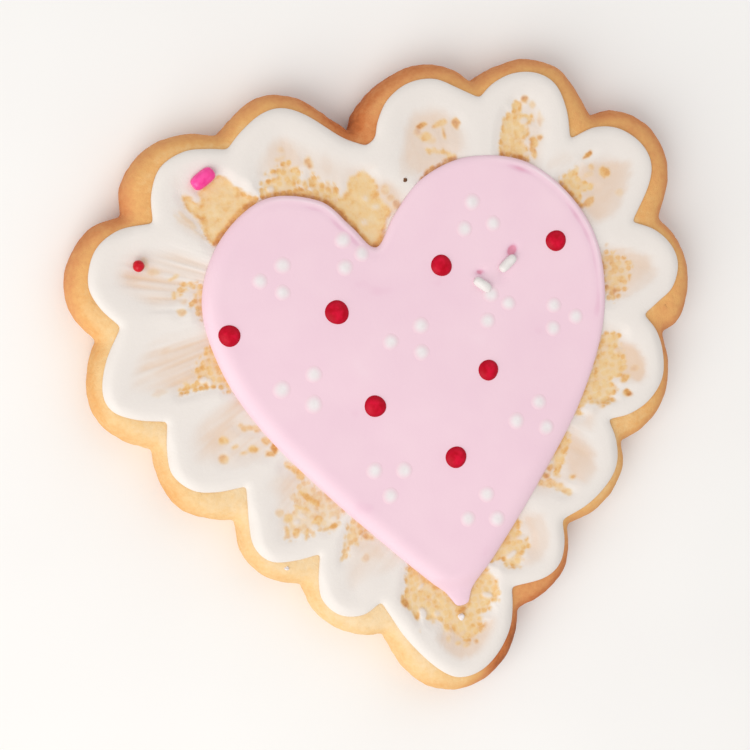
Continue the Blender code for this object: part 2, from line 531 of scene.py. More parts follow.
@dataclass(frozen=True)
class BakedDough(Finish):
    """Rolled butter dough, baked: matte, finely crumbed, browner where it is hotter.

    The mark "bake_and_shade" is 0 for the palest dough and 1 for the brownest; on the
    rim it also holds painted shade, darker away from the key lamp.
    """

    def material(self) -> bpy.types.Material:
        """Colour from bake plus mottling, bump from crumb and flour grain.

        Returns:
            The material.
        """
        material, tree, shader, place = self.start()
        # browned mottles about 3 mm across over crumbs of 0.7 mm, and flour grain of 0.18 mm
        mottle = self.grain(tree, place, 3.0, 3.0)
        crumb = self.grain(tree, place, 0.7, 3.0)
        settings = {"operation": "MULTIPLY_ADD", 1: 0.24}
        spread = add_node(tree, "ShaderNodeMath", settings, {0: mottle, 2: self.mark(tree, "bake_and_shade")})
        settings = {"operation": "MULTIPLY_ADD", 1: 0.26}
        speckled = add_node(tree, "ShaderNodeMath", settings, {0: crumb, 2: spread.outputs[0]})
        settings = {"operation": "SUBTRACT", 1: 0.25, "use_clamp": True}
        shifted = add_node(tree, "ShaderNodeMath", settings, {0: speckled.outputs[0]})
        stops = [(0.0, "F0D6AE"), (0.2, "EDC78F"), (0.4, "E6AE6C"), (0.6, "DB965E")]
        stops += [(0.8, "C87540"), (1.0, "8F4920")]
        colour = colour_ramp(tree, shifted.outputs[0], stops)
        tree.links.new(colour, shader.inputs["Base Color"])
        normal = self.bump(tree, crumb, 0.10)
        fine = self.grain(tree, place, 0.18, 1.0)
        tree.links.new(self.bump(tree, fine, 0.05, normal), shader.inputs["Normal"])
        return material


@dataclass(frozen=True)
class RoyalIcing(Finish):
    """Set royal icing: egg white and sugar, satin, opaque where thick.

    The mark "cover" is 1 where it is thick enough to hide the dough and falls to a
    beige film.  The mark "bare" is 1 where it was brushed out to a glaze that the
    crumb shows through, and "toast" is high where that crumb is browner; beside the
    pink heart toast also holds painted shade.
    """

    def material(self) -> bpy.types.Material:
        """White to beige by cover, then over to the crumb's own mottled gold.

        Returns:
            The material.
        """
        material, tree, shader, place = self.start()
        # patches of uneven drying 0.9 mm across, and the baked crumb's mottles of 1.3 mm
        cloud = self.grain(tree, place, 0.9, 3.0)
        crumb = self.grain(tree, place, 1.3, 3.0)
        bare = self.mark(tree, "bare")
        settings = {"operation": "MULTIPLY_ADD", 1: 0.14}
        clouded = add_node(tree, "ShaderNodeMath", settings, {0: cloud, 2: self.mark(tree, "cover")})
        settings = {"operation": "SUBTRACT", 1: 0.07, "use_clamp": True}
        film = add_node(tree, "ShaderNodeMath", settings, {0: clouded.outputs[0]})
        stops = [(0.0, "E4C7AC"), (0.25, "E4CEBC"), (0.5, "E6D8CD"), (0.75, "E8DED6"), (1.0, "EAE3DD")]
        white = colour_ramp(tree, film.outputs[0], stops)
        settings = {"operation": "MULTIPLY_ADD", 1: 0.45, "use_clamp": True}
        browned = add_node(tree, "ShaderNodeMath", settings, {0: self.mark(tree, "toast"), 2: crumb})
        stops = [(0.3, "EBCF9F"), (0.6, "E9C48C"), (0.8, "E1AC68"), (1.0, "CA8748")]
        gold = colour_ramp(tree, browned.outputs[0], stops)
        mixed = add_node(tree, "ShaderNodeMix", {"data_type": "RGBA"}, {0: bare, 6: white, 7: gold})
        tree.links.new(mixed.outputs[2], shader.inputs["Base Color"])
        settings = {"To Min": self.roughness, "To Max": 0.7}
        gloss = add_node(tree, "ShaderNodeMapRange", settings, {"Value": bare})
        tree.links.new(gloss.outputs[0], shader.inputs["Roughness"])
        # sugar grain, drawn at 0.35 mm so that it shows
        fine = self.grain(tree, place, 0.35, 2.0)
        tree.links.new(self.bump(tree, fine, 0.03), shader.inputs["Normal"])
        return material


@dataclass(frozen=True)
class FloodIcing(Finish):
    """Thinned royal icing that has levelled: smooth satin with a faint cloudiness.

    The mark "deep" is 1 in its dents, about a third in the furrow behind the piped
    rim, whose deeper pink is painted shade, and below 0 on the rim's thin crest, whose
    paler pink is a painted highlight.
    """

    def material(self) -> bpy.types.Material:
        """Pale pink that turns a little stronger in its clouds and dents, stronger in the rim's furrow as
        painted shade and paler on its crest as a painted highlight.

        Returns:
            The material.
        """
        material, tree, shader, place = self.start()
        # slow clouds 9 mm across, and the dried skin's texture, drawn at 0.6 mm to show
        cloud = self.grain(tree, place, 9.0, 2.0)
        settings = {"operation": "MULTIPLY_ADD", 1: 0.8, "use_clamp": True}
        mixed = add_node(tree, "ShaderNodeMath", settings, {0: self.mark(tree, "deep"), 2: cloud})
        stops = [(0.0, "F8E0E9"), (0.3, "F3D3DF"), (0.7, "F0CEDC"), (0.85, "E8BDD0"), (1.0, "E092AA")]
        tree.links.new(colour_ramp(tree, mixed.outputs[0], stops), shader.inputs["Base Color"])
        fine = self.grain(tree, place, 0.6, 2.0)
        tree.links.new(self.bump(tree, fine, 0.015), shader.inputs["Normal"])
        return material


@dataclass(frozen=True)
class Sugar(Finish):
    """A small sugar piece: one colour, a little uneven, with a fine bump.

    grain_mm is the size of its sugar's grains, and around is the colour it fades to
    where the mark "melt_and_rim_shade" falls from 1 to 0; for the red dots that is a
    darker red, painted shade at their rims.
    """

    dark: str = "000000"
    light: str = "FFFFFF"
    grain_mm: float = 0.8
    around: str = ""

    def material(self) -> bpy.types.Material:
        """Colour between dark and light by grain, faded to around by melt_and_rim_shade: the pink beside a
        white dot, painted shade at a red dot's rim.

        Returns:
            The material.
        """
        material, tree, shader, place = self.start()
        grain = self.grain(tree, place, self.grain_mm, 2.0)
        colour = colour_ramp(tree, grain, [(0.35, self.dark), (0.65, self.light)])
        if self.around:
            links = {0: self.mark(tree, "melt_and_rim_shade"), 7: colour}
            settings = {"data_type": "RGBA", 6: linear(self.around)}
            colour = add_node(tree, "ShaderNodeMix", settings, links).outputs[2]
        tree.links.new(colour, shader.inputs["Base Color"])
        tree.links.new(self.bump(tree, grain, 0.04), shader.inputs["Normal"])
        return material


# --- the cookie ----------------------------------------------------------------------


@dataclass
class BakedHeart:
    """The baked dough heart with its scalloped, rounded edge."""

    # each scallop's edge from its notch, clockwise, up to the next notch
    scallops: tuple[Points, ...] = (
        ((-1.2, 37.5), (0.9, 40.6), (5.6, 43.7), (10.6, 44.8), (15.0, 43.7)),
        ((18.0, 41.1), (22.2, 42.5), (27.0, 42.7), (31.2, 40.6), (33.3, 36.9)),
        ((34.7, 32.8), (38.6, 32.9), (42.3, 30.7), (44.6, 26.8), (44.8, 21.8)),
        ((42.1, 16.1), (44.2, 12.8), (45.0, 8.6), (44.2, 4.2), (41.9, 0.6)),
        ((39.2, -0.5), (39.3, -4.6), (38.3, -8.6), (36.0, -11.9), (32.6, -14.1)),
        ((29.6, -14.8), (29.3, -18.4), (26.7, -22.0), (23.0, -24.2)),
        ((19.1, -25.0), (18.6, -28.6), (16.8, -31.9), (13.2, -34.3)),
        ((9.2, -35.3), (8.2, -38.6), (5.8, -42.0), (1.6, -44.4), (-2.6, -44.7), (-6.7, -42.8), (-9.3, -39.2)),
        ((-11.1, -34.1), (-14.6, -33.4), (-17.9, -31.3), (-20.3, -28.2)),
        ((-21.2, -24.3), (-24.6, -23.0), (-27.3, -20.8), (-28.7, -17.4)),
        ((-28.7, -13.1), (-32.4, -12.0), (-35.8, -9.8), (-37.5, -6.6), (-38.1, -3.2)),
        ((-38.0, -0.8), (-41.9, 1.7), (-44.5, 4.9), (-45.1, 9.2), (-44.1, 13.0)),
        ((-42.4, 15.9), (-44.7, 19.8), (-45.1, 24.0), (-43.3, 28.3), (-39.6, 31.4)),
        ((-35.3, 32.1), (-34.6, 36.0), (-32.2, 39.1), (-28.3, 41.2), (-24.0, 41.5)),
        ((-19.8, 40.5), (-16.0, 43.3), (-12.0, 44.7), (-7.6, 43.6), (-4.4, 40.9)),
    )
    # section of the edge, below and above its widest part: inset from the outline, height
    lower: Points = ((3.2, 0.0), (2.0, 0.02), (1.1, 0.25), (0.35, 0.95), (0.0, 2.2))
    upper: Points = (
        (0.0, 2.2), (0.0, 3.6), (0.25, 4.9), (0.8, 5.95), (1.7, 6.7), (2.8, 7.1), (4.0, 7.2),
    )
    columns: int = 1150
    side_rings: int = 26
    top_rings: int = 12
    # shares of the way to the middle: the top's last rings from the heart's outline, and
    # the underside's, each from the ring before
    inner_steps: tuple[float, ...] = (0.25, 0.55, 0.85)
    under_steps: tuple[float, ...] = (0.04, 0.04, 0.05, 0.06, 0.15, 0.5, 0.85)
    notch_rounding: float = 0.35
    # relief in mm: slow swells, lumps, crumbs and pits
    swell_height: float = 0.06
    lump_height: float = 0.032
    crumb_height: float = 0.028
    pit_depth: float = 0.10
    # places along the edge, and how brown the rim is there: browning with painted shade in it, darker at the
    # top, on the right and at the tip's right side, away from the key lamp, and paler on the lower left that
    # faces it
    heat_and_shade: tuple[tuple[float, float, float], ...] = (
        (-1.2, 37.5, 0.70), (0.9, 40.6, 0.57), (15.0, 43.7, 0.50), (18.0, 41.1, 0.42), (27.0, 42.7, 0.46),
        (34.7, 32.8, 0.45), (42.3, 30.7, 0.50), (44.8, 21.8, 0.47), (42.1, 16.1, 0.42), (45.0, 8.6, 0.44),
        (39.2, -0.5, 0.47), (36.0, -11.9, 0.40), (29.6, -14.8, 0.30), (19.1, -25.0, 0.34),
        (16.8, -31.9, 0.66), (9.2, -35.3, 0.56), (8.2, -38.6, 0.86), (5.0, -42.5, 0.84),
        (1.6, -44.4, 0.42), (-2.6, -44.7, 0.24), (-9.3, -39.2, 0.10), (-17.9, -31.3, 0.06),
        (-27.3, -20.8, 0.14), (-28.7, -13.1, 0.08), (-37.5, -6.6, 0.24), (-38.0, -0.8, 0.12),
        (-44.5, 4.9, 0.22), (-42.4, 15.9, 0.22), (-45.1, 24.0, 0.38), (-39.6, 31.4, 0.48),
        (-32.2, 39.1, 0.37), (-19.8, 40.5, 0.33), (-12.0, 44.7, 0.42), (-4.4, 40.9, 0.56),
    )

    def __post_init__(self) -> None:
        """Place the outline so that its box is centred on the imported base's."""
        raw = outline_of(self.scallops)
        loop = Loop(raw, self.notch_rounding)
        low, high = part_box("cookie_base")
        middle = np.array((low + high)[:2]) / (2.0 * MM)
        self.shift = middle - (loop.points.min(0) + loop.points.max(0)) / 2.0
        self.outline = Loop(raw + self.shift, self.notch_rounding)
        self.section = profile_curve(list(self.upper), 200)
        self.undulation = Grain(11, 5.0)
        self.lumps = Grain(14, 0.8)
        self.crumb = Grain(12, 0.32)
        self.pores = Grain(13, 0.30)

    def relief(self, plan: Array) -> Array:
        """Height of the crumb over the smooth form: lumps, crumbs and pits.

        Args:
            plan: places in mm, (..., 2).

        Returns:
            Height in mm, (...).
        """
        pit = smooth_step(self.pores.at(plan), 1.5, 2.4)
        rough = self.crumb_height * self.crumb.at(plan) + self.lump_height * self.lumps.at(plan)
        return rough - self.pit_depth * pit

    def top(self, plan: Array) -> Array:
        """Height of the upper side without its crumb.

        Args:
            plan: places in mm, (..., 2).

        Returns:
            Height in mm: the edge section's height at the distance from the outline,
            plus slow swells.
        """
        inset, _ = self.outline.nearest(plan)
        form = np.interp(inset, self.section[:, 0], self.section[:, 1])
        return form + self.swell_height * self.undulation.at(plan)

    def build(self, heart: Loop) -> Piece:
        """Make the base: underside, edge, top, all rings around the outline.

        Args:
            heart: outline of the pink heart, which the top's rings run in to.

        Returns:
            The finished piece.
        """
        share = self.outline.columns(self.columns, 3.0)
        under = profile_curve(list(self.lower), 12)
        edge = profile_curve(list(self.upper), self.side_rings)
        rings, heights = [], []
        for inset, height in np.vstack((under[:-1], edge)):
            rings.append(self.outline.at(share, inset))
            heights.append(np.full(self.columns, height))
        last = rings[-1]
        inner = heart.at(heart_places(heart, last), 1.5)
        for step in np.linspace(0.0, 1.0, self.top_rings + 1)[1:]:
            rings.append(last + step * (inner - last))
            heights.append(np.full(self.columns, edge[-1][1]))
        middle = inner.mean(axis=0)
        for step in self.inner_steps:
            rings.append(inner + step * (middle - inner))
            heights.append(np.full(self.columns, edge[-1][1]))
        for step in self.under_steps:
            rings.insert(0, rings[0] + step * (middle - rings[0]))
            heights.insert(0, np.zeros(self.columns))
        plan, height = np.array(rings), np.array(heights)
        rough = self.relief(plan + 0.6 * height[..., None])
        rise = smooth_step(height, 4.0, 6.6)
        swell = self.swell_height * self.undulation.at(plan)
        height = height + rise * (swell + 0.6 * self.relief(plan))
        outward = plan - self.outline.at(share, 1.0)[None]
        wall = smooth_step(height, 0.3, 1.2) * (1.0 - rise)
        outward = outward / np.maximum(np.linalg.norm(outward, axis=-1, keepdims=True), 0.05)
        plan = plan + (wall * rough)[..., None] * outward
        marks = {"bake_and_shade": self.browning_and_shade(plan, height)}
        piece = skin("cookie_dough", np.concatenate((plan, height[..., None]), -1), True, marks)
        dough = BakedDough("baked butter dough", 0.78, 0.25).material()
        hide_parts("cookie_base")
        return finish_piece(piece, dough)

    def browning_and_shade(self, plan: Array, height: Array) -> Array:
        """How brown the dough is: pale on top, golden at the rim, brown below.

        Past 0.6 it climbs ever more slowly, to 0.9 at most, so that the brownest
        crust keeps its mottling.

        Args:
            plan: places in mm, (..., 2).
            height: heights in mm, (...).

        Returns:
            Bake from 0 to 1: browning, with painted shade on the rim away from the key lamp.
        """
        inset, share = self.outline.nearest(plan)
        rows = np.array(self.heat_and_shade)
        _, at = self.outline.nearest(rows[:, :2] + self.shift)
        heat_and_shade = np.interp(share, at, rows[:, 2], period=1.0)
        edge = smooth_step(inset, 2.0, 0.4)
        side = smooth_step(height, 5.4, 3.0)
        foot = smooth_step(height, 2.0, 0.2)
        # heat_and_shade reaches 9 mm in from the edge and counts a little more at the rim and down
        # the side, so its painted shade darkens rim and side away from the key lamp; rim and foot brown
        # everywhere
        bake_and_shade = heat_and_shade * (smooth_step(inset, 9.0, 3.0) + 0.18 * edge + 0.2 * side)
        bake_and_shade = bake_and_shade + 0.11 * edge + 0.08 * foot
        knee, room = 0.6, 0.3
        return np.minimum(bake_and_shade, knee) + room * np.tanh(np.maximum(bake_and_shade - knee, 0.0) / room)


def outline_of(scallops: tuple[Points, ...]) -> Array:
    """Join a smooth curve from each notch to the next into a closed outline.

    Args:
        scallops: each scallop's points from its notch, clockwise.

    Returns:
        The outline's points, (n, 2).
    """
    ends = scallops[1:] + scallops[:1]
    curves = [profile_curve([*row, end[0]], 120)[:-1] for row, end in zip(scallops, ends)]
    return np.concatenate(curves)


def heart_places(heart: Loop, points: Array) -> Array:
    """Places on the heart that a ring of points around it is brushed towards.

    Each point's nearest place, unwrapped, is blurred along the ring so that the lines
    fan round the cleft and the tip.

    Args:
        heart: the heart's outline.
        points: ring of points, clockwise from the cleft, (n, 2).

    Returns:
        Shares of the heart's length, rising round the ring.
    """
    _, share = heart.nearest(points)
    steps = np.arange(len(points)) / len(points)
    offset = np.mod(share - steps + 0.5, 1.0) - 0.5
    return blur_ring(offset, 0.02 * len(points)) + steps


# --- the brushed white icing ---------------------------------------------------------


class Brush(Enum):
    """How hard the brush was drawn through a scallop's icing: streak depth in mm."""

    SOFT = 0.008
    LIGHT = 0.018
    FIRM = 0.032


@dataclass(frozen=True)
class Scallop:
    """One scallop of the icing: how it was brushed, and its edge.

    The edge runs clockwise from its notch up to the next one.  The ridge that was
    left between two strokes runs from the notch to the heart.
    """

    brush: Brush
    ridge_width: float
    ridge_height: float
    edge: Points


class Wear(Enum):
    """What the brush left in an area, and how wide the area's soft edge is in mm."""

    BARE = 0.32
    SPOT = 0.28
    GLAZED = 0.85
    DAB = 0.22


@dataclass(frozen=True)
class Area:
    """An area of the white icing, inside the closed smooth curve through its points.

    strength is how fully it is bare or glazed, or how much icing a dab holds, toast
    is how much browner than the rest a bare area is, and stipple is how much of the
    icing is left between the crumb's dimples there.
    """

    wear: Wear
    points: Points
    strength: float = 1.0
    toast: float = 0.0
    stipple: float = 0.25

    def inside(self, plan: Array) -> Array:
        """Distance to the curve, positive inside and at least -2 mm outside.

        A place is inside when a line from it to -X crosses the curve an odd number
        of times.

        Args:
            plan: places in mm, (..., 2).

        Returns:
            The distances in mm, (...).
        """
        reach = 2.0
        curve = curve_through(np.array(self.points), 8)
        ahead = np.roll(curve, -1, 0)
        near = np.all((plan > curve.min(0) - reach) & (plan < curve.max(0) + reach), axis=-1)
        x, y = plan[near][:, 0, None], plan[near][:, 1, None]
        gap = np.min(np.hypot(x - curve[:, 0], y - curve[:, 1]), axis=1)
        slope = (ahead[:, 0] - curve[:, 0]) / (ahead[:, 1] - curve[:, 1] + 1e-9)
        straddled = (curve[:, 1] > y) != (ahead[:, 1] > y)
        crossed = straddled & (x > curve[:, 0] + slope * (y - curve[:, 1]))
        odd = crossed.sum(axis=1) % 2 == 1
        distance = np.full(plan.shape[:-1], -reach)
        distance[near] = np.where(odd, gap, -gap)
        return np.maximum(distance, -reach)


def oval(x: float, y: float, across: float, along: float, turn: float = 0.0) -> Points:
    """Eight points of an ellipse.

    Args:
        x: its middle.
        y: its middle.
        across: its first half axis in mm.
        along: its second half axis in mm.
        turn: angle of the first from +X in degrees.

    Returns:
        The points.
    """
    angle = np.arange(8) * np.pi / 4
    c, s = np.cos(np.radians(turn)), np.sin(np.radians(turn))
    u, v = across * np.cos(angle), along * np.sin(angle)
    return tuple(zip((x + c * u - s * v).tolist(), (y + s * u + c * v).tolist()))


def thin_area(strength: float, *points: tuple[float, float]) -> Area:
    """An area of thin beige film inside the curve through the points."""
    return Area(Wear.GLAZED, points, strength)


def bare_area(strength: float, toast: float, stipple: float, *points: tuple[float, float]) -> Area:
    """An area of bare dough inside the curve through the points."""
    return Area(Wear.BARE, points, strength, toast, stipple)


@dataclass
class LaceIcing:
    """White royal icing: a bead along each scallop, brushed in to the pink heart."""

    scallops: tuple[Scallop, ...] = (
        Scallop(Brush.SOFT, 2.2, 0.25, ((0.2, 34.9), (1.7, 35.8), (2.6, 38.0), (4.7, 40.7), (8.1, 42.4),
            (11.9, 42.3), (15.0, 40.4))),
        Scallop(Brush.SOFT, 3.4, 0.30, ((17.9, 38.4), (20.5, 40.1), (23.8, 40.9), (27.2, 40.2),
            (29.5, 38.0), (30.3, 34.2))),
        Scallop(Brush.SOFT, 2.2, 0.30, ((30.0, 30.1), (34.0, 31.0), (37.5, 30.2), (40.4, 27.6),
            (41.5, 24.4), (40.4, 21.1))),
        Scallop(Brush.SOFT, 2.3, 0.30, ((36.9, 16.5), (40.2, 14.6), (42.2, 11.9), (42.6, 9.0),
            (41.0, 5.9), (38.6, 4.4))),
        Scallop(Brush.SOFT, 2.6, 0.30, ((35.9, 2.9), (37.5, 0.0), (37.9, -2.8), (37.1, -6.6),
            (34.4, -9.4), (31.0, -10.8))),
        Scallop(Brush.LIGHT, 3.2, 0.20, ((27.5, -10.9), (28.2, -15.0), (27.1, -18.3), (24.8, -20.6),
            (21.6, -22.5))),
        Scallop(Brush.SOFT, 2.0, 0.25, ((17.7, -23.7), (17.5, -26.8), (16.1, -29.8), (13.3, -31.3))),
        Scallop(Brush.SOFT, 1.2, 0.35, ((8.2, -31.4), (7.4, -36.0), (5.0, -39.6), (1.5, -42.1),
            (-2.3, -42.3), (-5.4, -39.8), (-8.4, -35.3), (-10.2, -31.2))),
        Scallop(Brush.LIGHT, 1.6, 0.35, ((-11.1, -28.9), (-14.0, -30.1), (-17.2, -29.4), (-19.2, -26.8),
            (-19.2, -23.6))),
        Scallop(Brush.LIGHT, 1.1, 0.40, ((-18.3, -20.1), (-22.0, -20.2), (-25.4, -19.5), (-27.2, -17.0),
            (-27.2, -13.4))),
        Scallop(Brush.FIRM, 1.9, 0.35, ((-26.6, -8.3), (-30.6, -8.2), (-34.0, -7.2), (-36.3, -4.4),
            (-36.3, -0.8))),
        Scallop(Brush.FIRM, 2.2, 0.35, ((-35.5, 3.0), (-39.6, 4.2), (-42.6, 6.1), (-43.3, 9.0),
            (-41.9, 13.0))),
        Scallop(Brush.FIRM, 2.4, 0.35, ((-39.0, 17.2), (-41.3, 20.5), (-42.1, 24.0), (-40.2, 28.2),
            (-36.4, 30.3))),
        Scallop(Brush.LIGHT, 2.2, 0.32, ((-31.6, 30.3), (-31.0, 34.2), (-29.0, 37.6), (-25.3, 39.1),
            (-21.8, 38.8))),
        Scallop(Brush.SOFT, 2.0, 0.42, ((-19.3, 38.2), (-16.8, 40.3), (-13.6, 42.1), (-10.5, 42.4),
            (-7.2, 40.7), (-3.0, 36.9))),
    )
    # thin beige film around the bare patches: strength, points
    glazed: tuple[Area, ...] = (
        thin_area(0.55, (-13.8, 34.4), (-13.6, 36.8), (-12.2, 38.2), (-10.8, 38.0), (-10.0, 36.0),
            (-9.4, 34.0)),
        thin_area(0.4, *oval(-6.0, 33.2, 0.8, 1.3)),
        thin_area(0.4, *oval(-27.3, 35.3, 0.5, 1.0)),
        thin_area(0.5, *oval(-26.8, 29.0, 1.0, 3.2, 35)),
        thin_area(0.4, *oval(-1.2, 31.8, 2.0, 0.9)),
        thin_area(0.7, (0.6, 29.0), (2.4, 29.2), (3.6, 27.8), (3.4, 26.0), (1.6, 24.8), (0.6, 26.8)),
        thin_area(0.56, (4.6, 29.4), (4.8, 32.8), (6.0, 36.2), (7.6, 38.2), (9.6, 37.8), (12.4, 37.6),
            (14.0, 35.0), (13.6, 31.6)),
        thin_area(0.35, *oval(25.6, 32.8, 1.2, 2.6)),
        thin_area(0.5, *oval(28.6, 27.9, 2.8, 0.9, 22)),
        thin_area(0.72, (30.4, 26.4), (33.6, 26.0), (38.0, 25.2), (38.2, 23.8), (36.8, 20.6),
            (34.6, 17.8), (31.4, 17.4), (30.2, 20.6)),
        thin_area(0.7, (31.2, 13.0), (35.6, 12.8), (38.6, 11.2), (38.6, 8.2), (36.2, 6.6), (31.2, 6.2)),
        thin_area(1.0, (31.2, 0.0), (33.2, -0.8), (34.6, -3.0), (34.6, -5.2), (33.4, -6.8), (31.8, -6.2),
            (30.8, -3.0)),
        thin_area(0.7, *oval(26.2, -10.0, 3.2, 1.3, 12)),
        thin_area(0.75, (21.0, -12.0), (23.6, -13.4), (24.5, -15.6), (23.4, -19.2), (21.2, -19.4),
            (20.0, -16.0)),
        thin_area(0.72, (12.2, -22.0), (14.6, -21.8), (15.6, -24.0), (14.6, -27.4), (11.6, -29.8),
            (10.2, -28.8), (12.4, -25.4)),
        thin_area(0.85, (-4.0, -35.4), (4.6, -35.4), (4.6, -38.6), (0.8, -40.4), (-3.0, -39.0)),
        thin_area(0.45, *oval(-11.2, -21.0, 2.4, 1.0, -40)),
        thin_area(0.4, *oval(-21.2, -9.4, 2.2, 1.4, -15)),
        thin_area(0.35, *oval(-27.0, 17.0, 1.6, 4.6, -5)),
        thin_area(0.3, *oval(-31.0, 10.5, 4.5, 2.6, 5)),
        thin_area(0.45, *oval(-26.5, -3.0, 4.0, 2.6, -20)),
        thin_area(0.7, *oval(-33.2, 23.8, 1.2, 0.45, -20)),
    )
    # patches where the dough is laid bare: strength, toast, stipple, points
    patches: tuple[Area, ...] = (
        bare_area(1.0, 0.0, 0.15, (-26.9, 33.2), (-26.0, 32.8), (-25.2, 31.7), (-24.5, 32.2),
            (-24.2, 33.4), (-21.4, 34.9), (-20.5, 34.5), (-19.6, 33.3), (-18.4, 32.6), (-18.0, 31.6),
            (-16.5, 30.5), (-20.8, 27.6), (-24.0, 25.2), (-25.4, 29.0), (-26.4, 31.0)),
        bare_area(1.0, 0.0, 0.5, (-15.8, 29.6), (-15.9, 31.6), (-15.2, 32.9), (-14.0, 33.0),
            (-14.6, 33.8), (-13.2, 34.5), (-11.0, 35.1), (-10.9, 34.1), (-9.8, 33.5), (-9.9, 32.3),
            (-10.4, 31.4), (-10.0, 29.4)),
        bare_area(1.0, 0.5, 0.3, (-15.6, 30.9), (-13.0, 31.0), (-10.0, 30.8), (-7.2, 29.4), (-4.8, 27.4),
            (-5.2, 25.4), (-8.2, 27.8), (-15.0, 29.4)),
        bare_area(1.0, 0.1, 0.55, (-8.7, 32.5), (-7.8, 32.0), (-7.1, 31.0), (-5.4, 30.4), (-5.0, 29.2),
            (-5.4, 26.8), (-8.6, 29.0)),
        bare_area(1.0, 0.0, 0.15, (-5.3, 28.3), (-3.9, 29.3), (-3.4, 30.5), (-1.9, 31.4), (-0.4, 31.2),
            (0.4, 29.4), (0.6, 27.9), (1.0, 26.6), (1.9, 25.4), (0.8, 23.2), (-1.4, 19.8), (-4.2, 23.6),
            (-5.8, 27.4)),
        bare_area(0.9, 0.0, 0.25, (8.5, 32.8), (10.4, 32.4), (11.7, 32.0), (12.6, 30.9), (12.0, 29.8),
            (7.0, 28.4), (8.4, 30.0), (11.2, 31.0), (10.4, 31.8), (9.2, 31.9)),
        bare_area(1.0, 0.0, 0.25, (19.2, 30.2), (20.0, 33.0), (21.2, 35.4), (22.1, 35.6), (22.9, 36.8),
            (23.8, 36.3), (23.8, 35.2), (25.2, 34.4), (25.0, 33.5), (24.0, 33.2), (24.3, 32.2),
            (23.2, 31.2), (23.4, 30.2), (23.2, 28.2), (20.2, 29.2)),
        bare_area(1.0, 0.0, 0.35, (27.2, 24.4), (28.5, 25.3), (30.4, 25.9), (30.3, 24.6), (31.2, 23.6),
            (32.3, 22.7), (31.8, 22.2), (30.2, 22.3), (30.0, 20.4), (28.8, 20.6), (27.6, 22.6)),
        bare_area(1.0, 0.0, 0.35, (29.1, 1.5), (30.4, 1.4), (32.0, 0.9), (31.6, -0.8), (31.9, -2.6),
            (31.8, -4.0), (30.6, -4.9), (29.4, -5.7), (29.8, -6.6), (28.9, -7.7), (28.8, -8.6),
            (27.0, -8.8), (25.4, -7.9), (23.6, -8.4), (23.8, -9.4), (22.6, -8.6), (26.4, -3.4)),
        bare_area(1.0, 0.0, 0.3, (20.4, -11.2), (21.3, -12.1), (20.4, -14.0), (19.2, -16.1),
            (18.2, -17.4), (17.8, -16.4), (18.2, -14.0)),
        bare_area(0.85, 0.0, 0.25, (15.4, -17.2), (17.4, -17.7), (18.9, -18.9), (19.9, -20.0),
            (19.0, -20.3), (17.2, -18.9), (15.2, -18.2)),
        bare_area(1.0, 0.0, 0.4, (9.8, -21.6), (11.5, -22.3), (11.1, -23.4), (11.4, -24.3), (10.5, -25.0),
            (11.4, -25.2), (12.2, -25.0), (11.9, -26.5), (10.6, -27.1), (9.7, -28.9), (8.2, -28.4),
            (7.4, -27.1), (6.2, -27.2), (5.8, -26.4), (7.8, -24.0)),
        bare_area(1.0, 0.0, 0.4, (-6.2, -24.4), (-7.3, -27.8), (-8.1, -29.2), (-7.6, -30.6),
            (-7.0, -31.6), (-6.5, -32.8), (-5.9, -32.0), (-5.2, -32.6), (-4.4, -33.5), (-3.4, -33.8),
            (-3.0, -35.6), (-2.2, -35.2), (-1.4, -36.4), (-0.4, -37.2), (0.6, -37.4), (2.2, -36.8),
            (3.2, -35.8), (2.9, -34.6), (4.3, -33.8), (4.8, -32.6), (5.9, -32.6), (6.2, -30.2),
            (5.3, -27.9), (4.4, -27.4), (1.0, -30.0), (-1.0, -30.4), (-4.2, -24.4)),
        bare_area(0.85, 0.0, 0.5, (-13.2, -16.2), (-12.2, -16.4), (-10.8, -18.0), (-12.0, -18.8),
            (-12.4, -19.9), (-13.9, -20.0), (-14.6, -21.5), (-15.5, -21.7), (-14.7, -20.0),
            (-14.1, -18.0)),
        bare_area(1.0, 0.0, 0.25, (-20.8, -6.8), (-20.0, -6.4), (-18.4, -8.0), (-18.2, -9.2),
            (-19.0, -9.0), (-19.8, -7.8)),
        bare_area(0.68, 0.0, 0.65, (-20.0, -10.6), (-18.2, -9.6), (-15.4, -12.2), (-13.6, -14.8),
            (-15.0, -16.6), (-16.4, -17.2), (-18.0, -16.6), (-19.4, -17.4), (-20.4, -16.4),
            (-21.4, -17.3), (-22.6, -16.6), (-22.0, -15.0), (-21.9, -13.6), (-20.6, -13.0)),
        bare_area(0.8, 0.0, 0.25, (-26.1, 0.4), (-24.8, 0.3), (-23.2, -0.4), (-22.6, -1.3), (-24.2, -0.9),
            (-25.6, -0.2)),
        bare_area(1.0, 0.0, 0.6, (-27.9, 12.2), (-26.8, 11.8), (-26.0, 8.4), (-25.2, 5.0), (-26.4, 5.2),
            (-27.2, 6.2), (-28.6, 6.3), (-32.7, 6.3), (-32.6, 7.3), (-30.5, 7.9), (-30.4, 9.2),
            (-29.4, 10.2), (-28.4, 11.0)),
        bare_area(0.9, 0.0, 0.6, (-30.8, 19.7), (-30.4, 20.7), (-29.4, 21.3), (-28.4, 21.2),
            (-28.6, 20.7), (-29.8, 20.0)),
        bare_area(0.9, 0.0, 0.7, (-27.8, 20.6), (-26.6, 20.4), (-26.8, 16.0), (-27.9, 16.1),
            (-28.2, 17.4), (-29.0, 18.3), (-28.2, 18.9)),
        bare_area(0.85, 0.0, 0.85, (31.0, 12.8), (34.6, 11.8), (35.6, 10.4), (34.4, 8.4), (33.2, 6.6),
            (31.0, 6.4)),
    )
